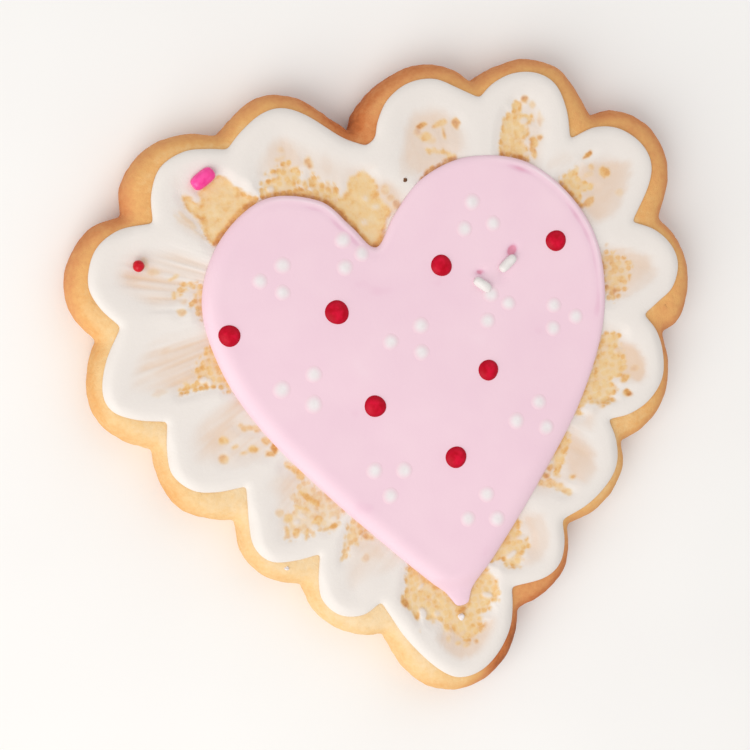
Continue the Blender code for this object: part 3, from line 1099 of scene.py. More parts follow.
    # spots: middle, half axes, turn, how bare, toast
    spots: tuple[tuple[float, ...], ...] = (
        (-12.4, 35.5, 0.8, 0.35, 10, 0.5, 0.0), (-11.9, 36.7, 0.4, 0.45, 0, 0.4, 0.0),
        (-8.4, 34.2, 0.55, 0.85, 0, 0.8, 0.4), (-9.5, 31.2, 0.4, 0.6, 0, 0.9, 0.2),
        (1.6, 28.3, 0.45, 0.7, 0, 0.5, 0.2), (2.1, 27.1, 0.5, 0.4, 0, 0.5, 0.2),
        (2.8, 26.0, 0.5, 0.5, 0, 0.6, 0.6), (8.8, 36.2, 0.9, 0.38, 5, 0.95, 0.5),
        (7.9, 35.3, 0.35, 0.5, 0, 0.5, 0.3), (11.2, 35.8, 1.1, 0.42, 18, 0.85, 0.1),
        (11.7, 34.4, 0.42, 0.95, 5, 0.9, 0.3), (13.7, 35.5, 0.5, 0.7, 0, 0.85, 0.3),
        (8.9, 34.4, 0.9, 0.6, -5, 0.9, 0.0), (9.8, 33.8, 0.7, 0.4, 0, 0.5, 0.0),
        (24.4, 36.8, 0.48, 0.45, 0, 0.9, 0.4), (25.3, 35.9, 0.45, 0.45, 0, 0.6, 0.1),
        (26.0, 33.7, 0.4, 1.2, -8, 0.4, 0.2), (24.4, 30.7, 0.65, 0.8, 0, 0.95, 0.1),
        (25.5, 31.2, 0.5, 0.4, 0, 0.85, 0.4), (24.1, 29.2, 0.4, 0.9, 10, 0.9, 0.2),
        (31.0, 20.8, 1.0, 0.5, 25, 0.85, 0.2), (32.0, 27.2, 0.85, 0.36, 20, 1.0, 0.6),
        (32.2, 25.6, 0.45, 0.5, 0, 0.7, 0.0), (31.6, 24.5, 0.6, 0.4, 0, 0.4, 0.0),
        (34.1, 24.5, 0.7, 0.85, 30, 0.95, 0.3), (35.8, 21.0, 0.6, 0.5, 0, 0.4, 0.1),
        (32.5, 12.2, 0.6, 0.4, 0, 0.85, 0.1), (31.2, 11.3, 0.4, 0.5, 0, 0.7, 0.5),
        (32.9, 10.5, 0.6, 0.7, 0, 0.9, 0.0), (33.4, 8.8, 0.5, 0.45, 0, 0.9, 0.1),
        (32.2, 8.3, 0.6, 0.5, 0, 0.85, 0.0), (31.0, 8.2, 0.4, 0.4, 0, 0.8, 0.8),
        (32.0, 7.4, 0.7, 0.5, -20, 0.85, 0.2), (32.2, 14.1, 0.25, 0.25, 0, 0.4, 0.4),
        (31.3, -5.6, 0.9, 0.45, 25, 0.95, 0.2), (31.1, -7.6, 0.65, 0.62, 0, 1.0, 0.6),
        (32.8, -4.5, 0.6, 0.45, 0, 0.35, 0.2), (17.4, -15.7, 0.65, 0.42, 40, 0.9, 0.3),
        (16.4, -16.7, 0.45, 0.5, 0, 0.9, 0.5), (20.3, -17.9, 0.6, 0.5, 0, 0.9, 0.3),
        (7.4, -31.6, 0.45, 0.85, 20, 0.9, 0.6), (2.6, -36.0, 0.8, 0.5, 20, 1.0, 0.3),
        (0.2, -32.8, 1.2, 0.5, 0, 1.0, 0.4), (-5.1, -28.8, 0.6, 0.4, 0, 1.0, 0.3),
        (-7.7, -29.9, 0.4, 0.6, 0, 1.0, 0.4), (-6.5, -32.3, 0.4, 0.5, 0, 1.0, 0.4),
        (-2.6, -36.4, 0.5, 0.5, 0, 0.6, 0.0), (-1.4, -37.4, 0.5, 0.35, 0, 0.8, 0.2),
        (-0.2, -38.0, 0.6, 0.35, 0, 0.7, 0.1), (1.5, -37.8, 0.4, 0.4, 0, 0.85, 0.4),
        (-6.5, -34.4, 0.3, 0.35, 0, 0.45, 0.2), (-11.0, -19.3, 0.95, 0.5, -25, 0.85, 0.3),
        (-12.0, -22.1, 0.4, 0.5, 0, 0.4, 0.2), (-18.0, -12.2, 2.3, 0.5, -48, 1.0, 0.1),
        (-19.4, -13.1, 1.4, 0.42, -30, 0.95, 0.0), (-17.6, -15.4, 0.9, 0.7, 0, 0.95, 0.0),
        (-16.1, -16.7, 1.1, 0.5, 5, 1.0, 0.2), (-19.6, -16.9, 0.42, 0.9, -20, 0.95, 0.1),
        (-21.0, -16.3, 0.7, 0.7, 0, 0.95, 0.1), (-22.2, -15.9, 0.5, 0.8, 0, 0.9, 0.1),
        (-21.6, -14.2, 0.6, 0.65, 0, 0.95, 0.0), (-22.7, -13.1, 0.45, 0.4, 0, 0.6, 0.1),
        (-20.4, -11.4, 0.5, 0.5, 0, 0.5, 0.0), (-28.3, -1.3, 0.85, 0.5, -30, 0.95, 0.2),
        (-27.0, -2.6, 0.5, 0.4, 0, 0.75, 0.0), (-28.9, -3.9, 0.5, 0.5, 0, 0.8, 0.0),
        (-25.9, -3.6, 0.55, 0.4, 0, 0.8, 0.0), (-24.4, -3.4, 0.85, 0.55, -15, 1.0, 0.1),
        (-22.5, -2.7, 0.6, 0.5, 0, 0.85, 0.2), (-21.5, -4.0, 0.5, 0.8, 0, 1.0, 0.5),
        (-22.3, -4.6, 0.7, 0.4, 0, 0.9, 0.6), (-30.5, 22.3, 0.75, 0.42, 20, 0.85, 0.0),
        (-30.4, 17.5, 0.6, 0.4, -15, 0.75, 0.1), (-29.8, 18.7, 0.5, 0.4, 0, 0.4, 0.0),
        (-31.6, 6.9, 1.3, 0.45, 5, 1.0, 0.3), (-29.8, 8.9, 0.5, 0.4, 0, 1.0, 0.2),
        (-26.6, 29.4, 0.3, 2.0, 36, 0.4, 0.0), (-25.5, 27.3, 0.3, 1.7, 38, 0.35, 0.0),
        (-27.7, 29.8, 0.3, 1.5, 42, 0.25, 0.0), (-35.6, 7.1, 1.2, 0.35, 0, 0.25, 0.3),
        (-33.4, 12.8, 0.9, 0.3, 10, 0.16, 0.2), (-33.0, 23.6, 0.8, 0.35, -20, 0.45, 0.1),
        (-36.0, 23.0, 1.0, 0.3, -15, 0.2, 0.2), (-33.9, 25.2, 0.5, 0.7, 0, 0.4, 0.0),
    )
    # dabs of icing that stand in the bare patches: middle, half axes, turn, amount
    dabs: tuple[tuple[float, ...], ...] = (
        (-14.5, 31.6, 0.5, 0.4, 0, 0.8), (-13.6, 33.4, 0.5, 0.25, -30, 0.5),
        (-1.4, 27.7, 0.4, 0.55, 20, 0.6), (-0.3, 26.2, 0.55, 0.4, 0, 0.5), (-2.2, 24.4, 0.5, 0.4, 0, 0.6),
        (23.6, 33.9, 0.6, 0.5, 0, 0.8), (23.5, 30.8, 0.5, 0.35, 0, 0.8), (23.2, 29.2, 0.6, 0.32, 0, 0.7),
        (31.0, -1.3, 0.6, 0.45, 0, 0.6), (29.0, -0.8, 0.6, 0.35, 30, 0.4),
        (9.1, -26.8, 0.9, 0.42, 25, 0.9), (11.0, -24.7, 0.5, 0.25, 0, 0.6),
        (-5.5, -31.9, 0.48, 0.75, 0, 1.0), (-4.9, -28.1, 0.55, 0.3, 30, 0.8),
        (-3.4, -32.6, 0.4, 0.35, 0, 0.7), (-3.3, -29.8, 0.45, 0.25, 50, 0.4),
        (-1.9, -35.6, 0.3, 0.5, 20, 0.5), (4.4, -31.7, 0.7, 0.3, -15, 0.8),
        (2.6, -35.2, 0.5, 0.2, -30, 0.5), (-0.4, -36.2, 0.5, 0.25, 30, 0.4),
        (-20.7, -14.9, 0.5, 0.42, 0, 0.9), (-18.3, -16.2, 0.45, 0.4, 0, 0.8),
        (-19.6, -14.3, 0.7, 0.3, -40, 0.7), (-15.4, -15.6, 0.5, 0.35, 0, 0.7),
        (-17.9, -13.9, 0.8, 0.22, -40, 0.5), (-29.4, 7.6, 0.7, 0.5, 0, 0.95),
        (-28.6, 7.1, 0.3, 0.5, 0, 0.7), (-28.4, 9.9, 0.4, 0.6, 0, 0.4),
    )
    # the bead along the edge: its height, half its width, and where its inner side ends
    bead_height: float = 0.76
    bead_reach: float = 1.5
    bead_fall: float = 6.0
    bead_unevenness: float = 0.08
    # the film: thickness, how well it covers, and what hairs and brushing take from that
    film: float = 0.30
    film_cover: float = 0.62
    streak_cover: float = 5.5
    brushed_off: float = 3.0
    # distances from the edge over which brushing sets in, and what stands over the film
    # where the icing is opaque
    brushed_from: tuple[float, float] = (2.5, 6.0)
    opaque_body: float = 0.28
    # how much thinner and clearer a glazed area is
    glaze_thinned: float = 0.1
    glaze_cleared: float = 0.8
    # worn areas: raggedness of their edges in mm, browning at them, how far they sink
    ragged: float = 0.11
    frayed: float = 0.06
    rim_toast: float = 0.35
    thinned: float = 0.85
    # the crumb that comes through where it is bare: lift in mm, share of the dough's relief
    crumb_lift: float = 0.03
    crumb_share: float = 0.45
    # how far the edge hangs over the dough, and how deep the underside lies in it
    skirt: float = 0.18
    buried: float = 0.7
    columns: int = 1330
    edge_rings: int = 12
    brushed_rings: int = 54

    def outline(self, shift: Array) -> Loop:
        """The icing's outer edge."""
        return Loop(outline_of(tuple(s.edge for s in self.scallops)) + shift, 0.4)

    def worn(self, plan: Array, hairs: Array) -> tuple[Array, Array, Array, Array]:
        """Where the brush left only film, bare dough or a dab, area after area.

        In each area a share rises from 0 to 1 as the distance inside it, made ragged
        by grain or drawn out along the brush's hairs, passes its soft edge.  The most
        glazed and the most bare area count, and a dab covers what is bare.

        Args:
            plan: places in mm before the shift, (..., 2).
            hairs: furrows of the brush's hairs there, about -2 to 2, (...).

        Returns:
            Bareness, glaze and toast from 0 to 1, and bareness with wide soft edges,
            by which the surface sinks.
        """
        bare, glaze, toast, low = (np.zeros(plan.shape[:-1]) for _ in range(4))
        ragged = self.ragged * Grain(21, 0.5).at(plan) + self.frayed * Grain(22, 0.22).at(plan)
        dimples = Dimples(23, 0.95).at(plan)
        for area in self.glazed:
            inside = area.inside(plan) + ragged + 0.2 * hairs
            share = smooth_step(inside, -area.wear.value, area.wear.value)
            glaze = np.maximum(glaze, area.strength * share)
        spots = tuple(Area(Wear.SPOT, oval(*row[:5]), row[5], row[6]) for row in self.spots)
        for area in self.patches + spots:
            inside = area.inside(plan)
            stipple = 0.0 if area.wear is Wear.SPOT else area.stipple
            # between the crumb's dimples the edge draws back and some icing stays on
            edge = inside + ragged + 0.8 * stipple * (dimples - 0.55)
            share = smooth_step(edge, -area.wear.value, area.wear.value)
            share = share * (1.0 - 0.6 * stipple * (1.0 - dimples))
            bare = np.maximum(bare, area.strength * share)
            rim = 1.0 if area.wear is Wear.SPOT else smooth_step(inside + 2.0 * ragged, 1.1, 0.3)
            # a patch's rim, all of a spot, and the dimples are browner
            brown = area.toast + self.rim_toast * rim + 0.4 * stipple * (dimples - 0.3)
            toast = toast + share * (brown - toast)
            sunk = 0.5 if area.wear is Wear.SPOT else 1.0
            low = np.maximum(low, sunk * area.strength * smooth_step(inside, -1.6, 1.0))
        for row in self.dabs:
            inside = Area(Wear.DAB, oval(*row[:5])).inside(plan)
            left = 1.0 - row[5] * smooth_step(inside + 0.5 * ragged, -Wear.DAB.value, Wear.DAB.value)
            bare, low = bare * left, low * (0.4 + 0.6 * left)
        return bare, glaze, toast, low

    def ridges(self, plan: Array, heart: Loop) -> Array:
        """Height of the ridges that run from the notches in to the heart.

        A ridge starts as high as the bead and sinks along its line as (1 - share)^2
        to its own height.  Across the line it falls off as a Gaussian; where two
        meet, the higher counts.

        Args:
            plan: places in mm before the shift, (..., 2).
            heart: outline of the pink heart before the shift.

        Returns:
            Height in mm.
        """
        height = np.zeros(plan.shape[:-1])
        starts = np.array([s.edge[0] for s in self.scallops])
        ends = heart.at(heart.nearest(starts)[1])
        for scallop, start, end in zip(self.scallops, starts, ends):
            line = end - start
            share = np.clip(((plan - start) @ line) / (line @ line), 0.0, 1.0)
            gap = np.linalg.norm(plan - start - share[..., None] * line, axis=-1)
            low = scallop.ridge_height
            crest = low + (self.bead_height - self.film - low) * (1.0 - share) ** 2
            height = np.maximum(height, crest * np.exp(-((gap / scallop.ridge_width) ** 2)))
        return height

    def hairs(self) -> Array:
        """Furrows that the brush's hairs drew along the lines to the heart.

        Noise that is short across the lines and long along them.

        Returns:
            The noise with a spread of 1, for each brushed ring and column.
        """
        rng = np.random.default_rng(31)
        rows = self.brushed_rings
        fine = blur_ring(rng.standard_normal((self.columns, rows)), 1.3)
        wide = blur_ring(rng.standard_normal((self.columns, rows)), 3.0)
        drawn = blur_ring((fine / fine.std() + wide / wide.std()).T, rows * 0.2)
        return drawn / drawn.std()

    def force(self) -> Array:
        """How hard the brush was drawn, each scallop's value blurred into the next.

        Returns:
            Depth of the furrows in mm, (columns,).
        """
        weight = np.array([s.brush.value for s in self.scallops])
        column = np.arange(self.columns) / self.columns * len(weight)
        return blur_ring(weight[column.astype(int)], 18.0)

    def brushed(
        self, base: BakedHeart, plain_heart: Loop, band: Array, inset: Array, swell: Array
    ) -> tuple[Array, dict[str, Array]]:
        """Thickness and marks of the icing that the brush drew in from the bead.

        The bead falls off inwards or goes over into a ridge, whichever is higher, on
        top of the film and its furrows.  Where an area is worn, all of it is thinned
        and the crumb's relief comes through.

        Args:
            base: the cookie it lies on.
            plain_heart: outline of the pink heart before the shift.
            band: the brushed places in the frame, (rings, columns, 2).
            inset: their distance from the icing's edge, (rings, columns).
            swell: how much thicker than even the bead is, (columns,).

        Returns:
            Thickness in mm, and the marks "cover", "bare" and "toast".
        """
        plain = band - base.shift
        fall = smooth_step(inset, self.bead_fall, 0.8 * self.bead_reach)
        ridge = self.ridges(plain, plain_heart)
        hairs = self.hairs()
        bare, glaze, toast, low = self.worn(plain, hairs)
        off_bead = smooth_step(inset, self.bead_reach, 2.2 * self.bead_reach)
        glaze, low = glaze * off_bead, low * off_bead
        force = self.force() * smooth_step(inset, *self.brushed_from)
        streak = hairs * force
        crest = self.bead_height * swell - self.film
        body = crest * (1.0 - (1.0 - fall) * (1.0 - np.minimum(ridge / crest, 1.0)))
        thick = (self.film + body + streak) * (1.0 - self.thinned * low)
        thick = thick * (1.0 - self.glaze_thinned * glaze)
        thick = thick + (self.crumb_lift + self.crumb_share * base.relief(band)) * bare
        opaque = smooth_step(body, 0.0, self.opaque_body) * (1.0 - glaze)
        veil = self.film_cover - self.brushed_off * force + self.streak_cover * streak
        cover = opaque + (1.0 - opaque) * veil * (1.0 - self.glaze_cleared * glaze)
        # beside the pink heart the icing is browner, most of all at the top: soaked dough, together with
        # painted shade where the heart's raised side meets the icing
        soaked_and_shade = smooth_step(plain_heart.nearest(plain)[0], 1.1, 0.3)
        soaked_and_shade = soaked_and_shade * (0.4 + 0.6 * smooth_step(plain @ np.array((0.1, 1.0)), 15.0, 24.0))
        marks = {"cover": np.clip(cover, 0.0, 1.0), "bare": bare, "toast": np.maximum(toast, soaked_and_shade)}
        return thick, marks

    def build(self, base: BakedHeart, heart: Loop, plain_heart: Loop) -> Piece:
        """Make the ring of icing: bead, brushed part and underside.

        Args:
            base: the cookie it lies on.
            heart: outline of the pink heart in the frame.
            plain_heart: the same before the shift.

        Returns:
            The finished piece.
        """
        outer = self.outline(base.shift)
        share = outer.columns(self.columns, self.bead_reach)
        uneven = blur_ring(np.random.default_rng(32).standard_normal(self.columns), 14.0)
        spread = 0.14
        swell = 1.0 + self.bead_unevenness * uneven / spread
        angles = np.radians(np.linspace(-35.0, 90.0, self.edge_rings))
        edge = [outer.at(share, self.bead_reach * (1.0 - np.cos(angle))) for angle in angles]
        rise = np.where(angles > 0, self.bead_height - self.skirt, self.skirt)
        bead = (self.skirt + rise * np.sin(angles))[:, None] * swell
        inner = heart.at(heart_places(heart, edge[-1]), 0.9)
        steps = np.linspace(0.0, 1.0, self.brushed_rings + 1)[1:, None, None]
        band = edge[-1] + steps * (inner - edge[-1])
        thick, marks = self.brushed(base, plain_heart, band, outer.nearest(band)[0], swell)
        under = [edge[0] + step * (band[-1] - edge[0]) for step in (0.75, 0.5, 0.25, 0.0)]
        plan = np.concatenate((edge, band, under))
        sunk = np.full((len(under), self.columns), -self.buried)
        height = base.top(plan) + np.concatenate((bead, thick, sunk))
        points = np.concatenate((plan, height[..., None]), -1)
        around = ((self.edge_rings, len(under)), (0, 0))
        for key, mark in marks.items():
            marks[key] = np.pad(mark, around, constant_values=float(key == "cover"))
        piece = skin("white_icing_lace", points, False, marks)
        icing = RoyalIcing("set royal icing", 0.42, 0.4).material()
        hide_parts("lace_icing")
        return finish_piece(piece, icing)


# --- the pink heart ------------------------------------------------------------------


@dataclass(frozen=True)
class Dent:
    """A hollow in the pink icing: place, half axes, turn in degrees and depth."""

    x: float
    y: float
    across: float
    along: float
    turn: float
    depth: float


@dataclass
class HeartIcing:
    """The pink flood icing heart with its piped rim and run-down tip."""

    outline_points: Points = (
        (-1.4, 20.6), (2.2, 24.7), (7.3, 28.9), (14.5, 30.5), (22.6, 28.2), (28.4, 21.8), (31.0, 13.6),
        (29.4, 3.2), (23.4, -7.6), (14.6, -17.9), (7.2, -25.5), (2.8, -29.5), (1.8, -31.0), (1.3, -32.0),
        (-0.3, -32.1), (-1.0, -31.0), (-1.8, -29.6), (-3.5, -27.8), (-8.0, -22.2), (-15.6, -12.2),
        (-22.7, -1.4), (-26.7, 8.4), (-27.4, 18.0), (-23.2, 25.9), (-15.8, 30.4), (-8.2, 28.7),
        (-4.4, 24.3),
    )
    dents: tuple[Dent, ...] = (
        Dent(12.6, 14.1, 0.9, 0.55, -10, 0.44),
        Dent(17.9, 16.2, 0.9, 0.7, 40, 0.44),
        Dent(12.9, 12.0, 1.6, 0.7, -40, 0.15),
        Dent(16.6, 14.4, 1.6, 0.8, 40, 0.15),
        Dent(15.9, 12.5, 1.2, 0.8, 20, 0.12),
        Dent(-3.2, 22.2, 2.6, 1.4, -50, 0.12),
        Dent(-10.0, -2.0, 6.0, 2.5, -55, 0.08),
    )
    # places along the outline, and how strongly the rim stands up there
    piping: tuple[tuple[float, float, float], ...] = (
        (-1.4, 20.8, 0.5), (1.5, 24.4, 0.0), (14.5, 30.6, 0.0), (19.0, 29.9, 0.5), (22.6, 28.2, 1.0),
        (28.4, 21.8, 1.0), (31.0, 13.6, 1.0), (30.9, 8.6, 0.6), (29.4, 3.2, 0.2), (23.4, -7.6, 0.0),
        (-23.4, 26.0, 0.0), (-20.0, 29.4, 0.2), (-13.0, 30.9, 0.7), (-8.0, 29.0, 1.0), (-4.2, 24.6, 0.9),
    )
    centre: tuple[float, float] = (1.5, 6.0)
    # direction to the upper right, where counting starts along it, and the distances over
    # which the rounded side gets narrower and the level lower
    upper_right: tuple[float, float] = (0.62, 0.78)
    counted_from: float = 2.0
    narrowing_over: tuple[float, float] = (-2.0, 16.0)
    lowering_over: tuple[float, float] = (-6.0, 18.0)
    # heights over the dough: the level, how much lower the right is, the waist, the tip's share
    level: float = 2.0
    level_fall: float = 0.8
    waist: float = 0.6
    tip_share: float = 0.28
    # the y over which the tip goes over into the heart
    tip_over: tuple[float, float] = (-30.4, -27.2)
    # the rounded side: its width, and how much narrower it is on the right
    side_width: float = 2.8
    side_narrowing: float = 1.5
    # relief of the top
    rim_height: float = 0.07
    groove_depth: float = 0.06
    swell_height: float = 0.045
    # colour: how much deeper in the groove, painted shade, and how much paler on the crest, a painted
    # highlight
    groove_painted_shade: float = 0.34
    crest_painted_highlight: float = 0.55
    # the outline's usual distance from the centre, and the rings of the foot under the
    # edge: inset in mm at that distance, height as a share of the waist's
    usual_reach: float = 24.0
    foot_rings: Points = ((0.5, -0.6), (0.30, -0.1), (0.12, 0.35), (0.03, 0.7))
    columns: int = 900
    rings: int = 84

    def outline(self, shift: Array) -> Loop:
        """The heart's outline, moved by the shift."""
        return Loop(curve_through(np.array(self.outline_points), 40) + shift, 0.25)

    @cached_property
    def piping_at(self) -> Array:
        """Shares of the outline's length at the places that piping lists."""
        return self.outline(np.zeros(2)).nearest(np.array(self.piping)[:, :2])[1]

    def piped(self, share: Array) -> Array:
        """How strongly the piped rim stands up at shares of the outline's length."""
        return np.interp(share, self.piping_at, np.array(self.piping)[:, 2], period=1.0)

    @staticmethod
    def groove(depth: Array) -> Array:
        """Depth, up to 1, of the furrow between the piped rim and the flooded middle."""
        return np.exp(-(((depth - 1.3) / 0.5) ** 2))

    @staticmethod
    def crest(depth: Array) -> Array:
        """Height, up to 1, of the piped rim's crest."""
        return np.exp(-(((depth - 0.55) / 0.3) ** 2))

    def form(self, plan: Array, depth: Array, piped: Array) -> Array:
        """Height over the dough.

        A quarter ellipse rises from the waist, steeper on the right; where the rim
        was piped it stands over a groove.

        Args:
            plan: places in mm before the shift, (..., 2).
            depth: distance to the outline, (...).
            piped: how strongly the rim stands up, (...).

        Returns:
            Height in mm.
        """
        side = plan @ np.array(self.upper_right) - self.counted_from
        width = self.side_width - self.side_narrowing * smooth_step(side, *self.narrowing_over)
        level = self.level - self.level_fall * smooth_step(side, *self.lowering_over)
        climb = np.sqrt(np.maximum(1.0 - (1.0 - np.clip(depth / width, 0.0, 1.0)) ** 2, 0.0))
        tip = self.tip_share + (1.0 - self.tip_share) * smooth_step(plan[..., 1], *self.tip_over)
        height = self.waist * (0.4 + 0.6 * tip) + (level - self.waist) * climb * tip
        rim = self.rim_height * self.crest(depth) - self.groove_depth * self.groove(depth)
        height = height + piped * rim
        height = height + self.swell_height * Grain(41, 5.0).at(plan) * smooth_step(depth, 0.5, 4.0)
        for dent in self.dents:
            height = height - dent.depth * np.exp(-self.spread(plan, dent))
        return height

    @staticmethod
    def spread(plan: Array, dent: Dent) -> Array:
        """Squared distance from a dent in its own half axes.

        Args:
            plan: places in mm before the shift, (..., 2).
            dent: the dent.

        Returns:
            The squared distance, 1 on the dent's ellipse, (...).
        """
        x, y = plan[..., 0] - dent.x, plan[..., 1] - dent.y
        c, s = np.cos(np.radians(dent.turn)), np.sin(np.radians(dent.turn))
        return ((c * x + s * y) / dent.across) ** 2 + ((c * y - s * x) / dent.along) ** 2

    def top(self, plan: Array, base: BakedHeart, loop: Loop) -> Array:
        """Height of the pink surface in the frame at places inside the heart."""
        depth, share = loop.nearest(plan)
        return base.section[-1, 1] + self.form(plan - base.shift, depth, self.piped(share))

    def build(self, base: BakedHeart, loop: Loop) -> Piece:
        """Make the heart: rings that shrink towards its centre.

        Args:
            base: the cookie it lies on.
            loop: the heart's outline in the frame.

        Returns:
            The finished piece.
        """
        centre = np.array(self.centre) + base.shift
        edge = loop.at(loop.columns(self.columns, 0.1))
        shrink = np.linspace(0.0, 0.985, self.rings) ** 1.7
        plan = centre + (1.0 - shrink[:, None, None]) * (edge - centre)
        height = self.top(plan, base, loop)
        foot = base.section[-1, 1]
        under_plan, under_height = [], []
        for inset, share in self.foot_rings:
            under_plan.append(centre + (1.0 - inset / self.usual_reach) * (edge - centre))
            under_height.append(np.full(self.columns, foot + share * self.waist))
        plan = np.concatenate((np.array(under_plan), plan))
        height = np.concatenate((np.array(under_height), height))
        depth, share = loop.nearest(plan)
        deeper, paler = self.groove_painted_shade, self.crest_painted_highlight
        # deeper pink in the rim's groove is painted shade and the paler crest a painted highlight; the dents'
        # deeper pink adds to it
        hollow = self.piped(share) * (deeper * self.groove(depth) - paler * self.crest(depth))
        for dent in self.dents:
            hollow = hollow + min(1.0, 2.0 * dent.depth) * np.exp(-self.spread(plan - base.shift, dent))
        points = np.concatenate((plan, height[..., None]), -1)
        piece = skin("pink_icing_heart", points, True, {"deep": hollow})
        icing = FloodIcing("pink flood icing", 0.36, 0.45).material()
        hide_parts("pink_heart_icing")
        return finish_piece(piece, icing)


# --- dots and sprinkles --------------------------------------------------------------


@dataclass
class IcingDots:
    """Small piped dots that sit on the pink icing as low domes."""

    name: str
    places: tuple[tuple[float, float, float], ...]
    height: float
    sunk: float
    power: float
    solid: float
    finish: Sugar
    slot: str
    seed: int
    columns: int = 40
    rings: int = 16

    def build(self, base: BakedHeart, heart: HeartIcing, loop: Loop) -> Piece:
        """Make all dots as one piece.

        Each dot's height over its rim is h * (1 - r^2)^power, r from 1 at the rim to 0
        in the middle, and the rim is a wobbling circle sunk a little into the icing.
        The mark "melt_and_rim_shade" rises from 0 at the rim to 1 where r is down to solid;
        on the red dots the rim's darker red is painted shade.

        Args:
            base: the cookie.
            heart: the pink icing under the dots.
            loop: the heart's outline.

        Returns:
            The finished piece.
        """
        rng = np.random.default_rng(self.seed)
        count = len(self.places)
        angle = round_angles(self.columns)
        across, along, size = np.array(self.places).T
        wave = 1.0 + 0.018 * np.cos(2 * angle + rng.uniform(0, 6, (count, 1)))
        wave = wave + 0.016 * np.cos(3 * angle + rng.uniform(0, 6, (count, 1)))
        r = np.cos(np.linspace(0.0, 0.97 * np.pi / 2, self.rings))
        reach = size[:, None, None] * r[None, :, None] * wave[:, None, :]
        x = across[:, None, None] + base.shift[0] + reach * np.cos(angle)
        y = along[:, None, None] + base.shift[1] + reach * np.sin(angle)
        lift = self.height * (1.0 - r**2) ** self.power - self.sunk
        z = heart.top(np.stack((x, y), -1), base, loop) + lift[None, :, None]
        below = np.stack((x[:, :1], y[:, :1], z[:, :1] - 0.15), -1)
        points = np.concatenate((below, np.stack((x, y, z), -1)), axis=1)
        melt_and_rim_shade = smooth_step(r, 1.0, self.solid)
        melt_and_rim_shade = np.broadcast_to(np.append(0.0, melt_and_rim_shade)[None, :, None], points.shape[:3])
        piece = skin(self.name, points, True, {"melt_and_rim_shade": melt_and_rim_shade})
        return finish_piece(piece, self.finish.material())


@dataclass(frozen=True)
class Rod:
    """A pressed sugar rod: middle, height of its axis over what it lies on, size.

    Heading and pitch are in degrees, length and radius in mm.
    """

    x: float
    y: float
    lift: float
    heading: float
    pitch: float
    length: float
    radius: float


@dataclass
class SugarRods:
    """Rod sprinkles with softly rounded ends, made as one piece."""

    name: str
    rods: tuple[Rod, ...]
    finish: Sugar
    slot: str
    end_power: float = 3.5
    columns: int = 32
    rings: int = 24

    def middles(self, shift: Array) -> Array:
        """The rods' middles in plan, moved by the shift."""
        return np.array([(rod.x, rod.y) for rod in self.rods]) + shift

    def build(self, shift: Array, floor: Array) -> Piece:
        """Make the rods.

        Along the axis, t from -1 to 1, the radius is r * (1 - |t|^p)^(1/p): full in the
        middle and rounded at the ends.

        Args:
            shift: the plan shift of the frame.
            floor: height of the surface under each rod.

        Returns:
            The finished piece.
        """
        t = -np.cos(np.linspace(0.03, np.pi - 0.03, self.rings))
        girth = (1.0 - np.abs(t) ** self.end_power) ** (1.0 / self.end_power)
        angle = round_angles(self.columns)
        skins = []
        for rod, (x, y), under in zip(self.rods, self.middles(shift), floor):
            lean = Matrix.Rotation(np.radians(90.0 - rod.pitch), 3, "Y")
            turn = Matrix.Rotation(np.radians(rod.heading), 3, "Z") @ lean
            ring = rod.radius * girth[:, None]
            along = t[:, None] * rod.length / 2 + 0.0 * angle
            local = np.stack((ring * np.cos(angle), ring * np.sin(angle), along), -1)
            skins.append(local @ np.array(turn).T + np.array((x, y, under + rod.lift)))
        piece = skin(self.name, np.array(skins), True, {})
        return finish_piece(piece, self.finish.material())


@dataclass
class Grains:
    """Nearly round sugar balls or crumbs, made as one piece."""

    name: str
    grains: tuple[tuple[float, float, float, float], ...]
    finish: Sugar
    slot: str
    lumpiness: float
    seed: int
    columns: int = 20
    rings: int = 12

    def build(self, shift: Array) -> Piece:
        """Make the grains: spheres whose radius swells by a few smooth waves.

        Args:
            shift: the plan shift of the frame.

        Returns:
            The finished piece.
        """
        rng = np.random.default_rng(self.seed)
        tilt = np.linspace(0.06, np.pi - 0.06, self.rings)[:, None]
        angle = round_angles(self.columns)
        level = (np.sin(tilt) * np.cos(angle), np.sin(tilt) * np.sin(angle))
        away = np.stack((*level, -np.cos(tilt) + 0.0 * angle), -1)
        skins = []
        for x, y, z, radius in self.grains:
            waves = rng.normal(size=(3, 3)) * 2.2
            phase = rng.uniform(0.0, 6.0, 3)
            swell = 1.0 + self.lumpiness * np.sin(away @ waves.T + phase).sum(axis=-1)
            place = np.array((x + shift[0], y + shift[1], z))
            skins.append(place + radius * swell[..., None] * away)
        piece = skin(self.name, np.array(skins), True, {})
        return finish_piece(piece, self.finish.material())


# --- the studio ----------------------------------------------------------------------


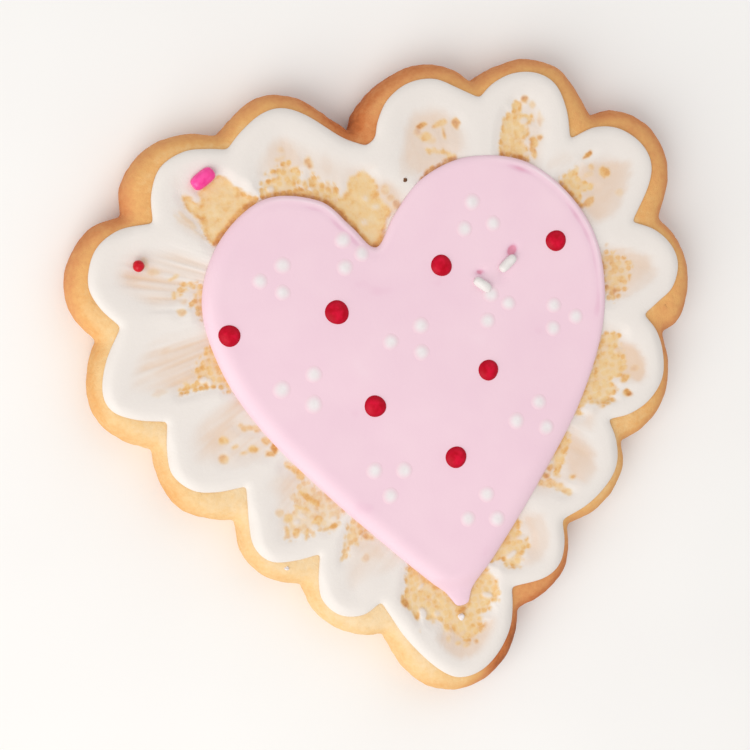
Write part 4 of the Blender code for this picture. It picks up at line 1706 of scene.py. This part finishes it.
@dataclass
class Studio:
    """Pale floor, soft lights and the camera that looks down on the cookie."""

    lens: float = 100.0
    sensor: float = 36.0
    width_seen: float = 106.875
    tilt: float = 13.0
    tilt_heading: float = 10.0
    lean: float = 12.0
    target: tuple[float, float, float] = (-4.87, 2.87, 6.0)
    surround: float = 0.555
    floor_half: float = 1500.0

    def axes(self) -> tuple[Vector, Vector]:
        """The picture's right and up as directions in the cookie's plan."""
        turn = math.radians(self.lean)
        return Vector((math.cos(turn), -math.sin(turn), 0.0)), Vector((math.sin(turn), math.cos(turn), 0.0))

    def camera(self) -> None:
        """Look down on the cookie, tilted a little from the picture's left."""
        right, up = self.axes()
        tilt, heading = math.radians(self.tilt), math.radians(self.tilt_heading)
        side = math.sin(heading) * up - math.cos(heading) * right
        back = (math.cos(tilt) * Vector((0, 0, 1)) + math.sin(tilt) * side).normalized()
        across = up.cross(back).normalized()
        above = back.cross(across)
        data = bpy.data.cameras.new("camera")
        data.lens, data.sensor_width = self.lens, self.sensor
        distance = self.lens / self.sensor * self.width_seen * MM
        data.clip_start, data.clip_end = 0.01, 10.0
        eye = bpy.data.objects.new("camera", data)
        place = Vector(self.target) * MM + back * distance
        turn = Matrix((across, above, back)).transposed().to_4x4()
        eye.matrix_world = Matrix.Translation(place) @ turn
        bpy.context.scene.collection.objects.link(eye)
        bpy.context.scene.camera = eye

    def lamp(
        self, name: str, heading: float, rise: float, away: float, size: float, watts: float, tint: str
    ) -> None:
        """Hang a square lamp that faces the cookie.

        Args:
            name: the lamp's name.
            heading: direction in the picture, degrees anticlockwise from its right.
            rise: degrees above the floor.
            away: distance in metres.
            size: side in metres.
            watts: power.
            tint: sRGB hex colour.
        """
        right, up = self.axes()
        turn, lift = math.radians(heading), math.radians(rise)
        towards = math.cos(lift) * (math.cos(turn) * right + math.sin(turn) * up)
        towards = towards + math.sin(lift) * Vector((0, 0, 1))
        data = bpy.data.lights.new(name, "AREA")
        data.size, data.energy = size, watts
        data.color = linear(tint)[:3]
        lamp = bpy.data.objects.new(name, data)
        lamp.location = towards * away
        lamp.rotation_euler = (-towards).to_track_quat("-Z", "Y").to_euler()
        bpy.context.scene.collection.objects.link(lamp)

    def floor(self) -> None:
        """A pale floor at the cookie's underside."""
        half = self.floor_half
        corners = np.array([(-half, -half), (-half, half), (half, half), (half, -half)])
        places = np.column_stack((corners, np.full(4, -0.05)))
        order = [np.array((0, 3, 2, 1))]
        floor = mesh_object("floor", places, order, [np.array([4])], {})
        material, tree, shader, place = Finish("pale painted floor", 0.6, 0.2).start()
        cloud = Finish.grain(tree, place, 60.0, 2.0)
        shade = colour_ramp(tree, cloud, [(0.3, "F4F2F0"), (0.7, "F8F7F5")])
        tree.links.new(shade, shader.inputs["Base Color"])
        floor.data.materials.append(material)

    def world(self) -> None:
        """A plain, even surrounding light."""
        world = bpy.data.worlds.new("studio")
        world.use_nodes = True
        back = world.node_tree.nodes["Background"]
        back.inputs["Color"].default_value = linear("FFFFFF")
        back.inputs["Strength"].default_value = self.surround
        bpy.context.scene.world = world

    def build(self) -> None:
        """Set up camera, floor and light."""
        self.camera()
        self.floor()
        self.world()
        self.lamp("key", 222.0, 42.0, 0.62, 0.65, 3.0, "FFFCF8")
        self.lamp("fill", 55.0, 40.0, 0.80, 0.80, 1.1, "FFFFFF")
        bpy.context.scene.view_settings.view_transform = "Standard"


# the dots: middle and radius
RED_DOTS = (
    (24.6, 16.2, 1.56), (7.2, 16.2, 1.58), (-9.1, 12.9, 1.76), (-24.7, 12.9, 1.58), (10.8, 0.2, 1.53),
    (-6.5, -1.2, 1.60), (3.5, -10.9, 1.59),
)
WHITE_DOTS = (
    (13.5, 24.1, 1.45), (11.6, 20.6, 1.4), (15.9, 20.5, 1.35), (-6.1, 22.6, 1.45), (-3.8, 20.2, 1.35),
    (-6.6, 18.8, 1.45), (-18.9, 19.4, 1.35), (-15.3, 20.9, 1.45), (-16.1, 17.2, 1.35), (-2.4, 7.2, 1.4),
    (2.4, 8.5, 1.45), (1.7, 4.8, 1.4), (13.5, 10.7, 1.45), (15.8, 8.9, 1.3), (12.2, 7.1, 1.4),
    (22.4, 7.2, 1.35), (25.3, 4.9, 1.35), (21.6, 4.0, 1.35), (-19.1, 4.0, 1.55), (-14.2, 5.1, 1.45),
    (-15.1, 1.0, 1.55), (-8.5, -10.1, 1.45), (-4.3, -11.0, 1.45), (-7.0, -14.1, 1.4), (13.3, -7.8, 1.45),
    (17.2, -5.9, 1.35), (17.5, -9.7, 1.4), (6.8, -17.1, 1.4), (3.4, -19.9, 1.35), (7.6, -20.9, 1.45),
)


def main() -> None:
    """Build the cookie from its base upwards, then the studio round it."""
    logging.basicConfig(level=logging.INFO, format="%(message)s")
    base = BakedHeart()
    pink = HeartIcing()
    heart = pink.outline(base.shift)
    base.build(heart)
    LaceIcing().build(base, heart, pink.outline(np.zeros(2)))
    pink.build(base, heart)
    # the red dots fade to a darker red at their rims: painted shade
    red = Sugar("red dot icing", 0.4, 0.12, "B8001E", "D60E34", 1.1, "B40A26")
    white = Sugar("white dot icing", 0.5, 0.4, "EAE2E2", "F0EAEA", 1.0)
    soft = Sugar("white dot icing over pink", 0.5, 0.4, "EAE2E3", "F0EAEB", 1.0, "F1CEDA")
    domes = IcingDots("red_dots", RED_DOTS, 0.7, 0.12, 0.6, 0.5, red, "red_icing", 51)
    domes.build(base, pink, heart)
    low_domes = IcingDots("white_dots", WHITE_DOTS, 0.16, 0.02, 1.4, 0.15, soft, "white_dots", 52)
    low_domes.build(base, pink, heart)
    hot = Sugar("pressed pink sugar", 0.3, 0.5, "F02A8C", "FF4FA6", 1.5)
    pale = Sugar("pressed white sugar", 0.45, 0.4, "E6E1DE", "EEEAE7", 1.0)
    bead = Sugar("red sugar ball", 0.3, 0.25, "BC0818", "D8142A", 0.8)
    pink_rod = SugarRods("pink_sprinkle", (Rod(-23.6, 34.9, 0.9, 27, 0, 3.6, 1.08),), hot, "sugar_sprinkle")
    pink_rod.build(base.shift, base.top(pink_rod.middles(base.shift)))
    rods = (Rod(12.5, 12.3, 0.4, -45, 2, 2.8, 0.70), Rod(16.8, 14.5, 0.4, 32, -3, 3.0, 0.70))
    white_rods = SugarRods("white_sprinkles", rods, pale, "white_dots")
    white_rods.build(base.shift, pink.top(white_rods.middles(base.shift), base, heart))
    Grains("red_sugar_ball", ((-34.9, 24.9, 8.4, 0.82),), bead, "sugar_sprinkle", 0.02, 61).build(base.shift)
    crumbs = ((-23.3, -21.0, 7.0, 0.32), (-0.1, -33.8, 7.3, 0.45))
    Grains("icing_crumbs", crumbs, white, "white_icing", 0.12, 62).build(base.shift)
    speck = Sugar("toasted crumb", 0.7, 0.3, "5A3A22", "7A5030", 0.5)
    Grains("toasted_crumb", ((4.7, 29.1, 7.75, 0.3),), speck, "baked_dough", 0.1, 63).build(base.shift)
    Studio().build()


if __name__ == "__main__":
    main()
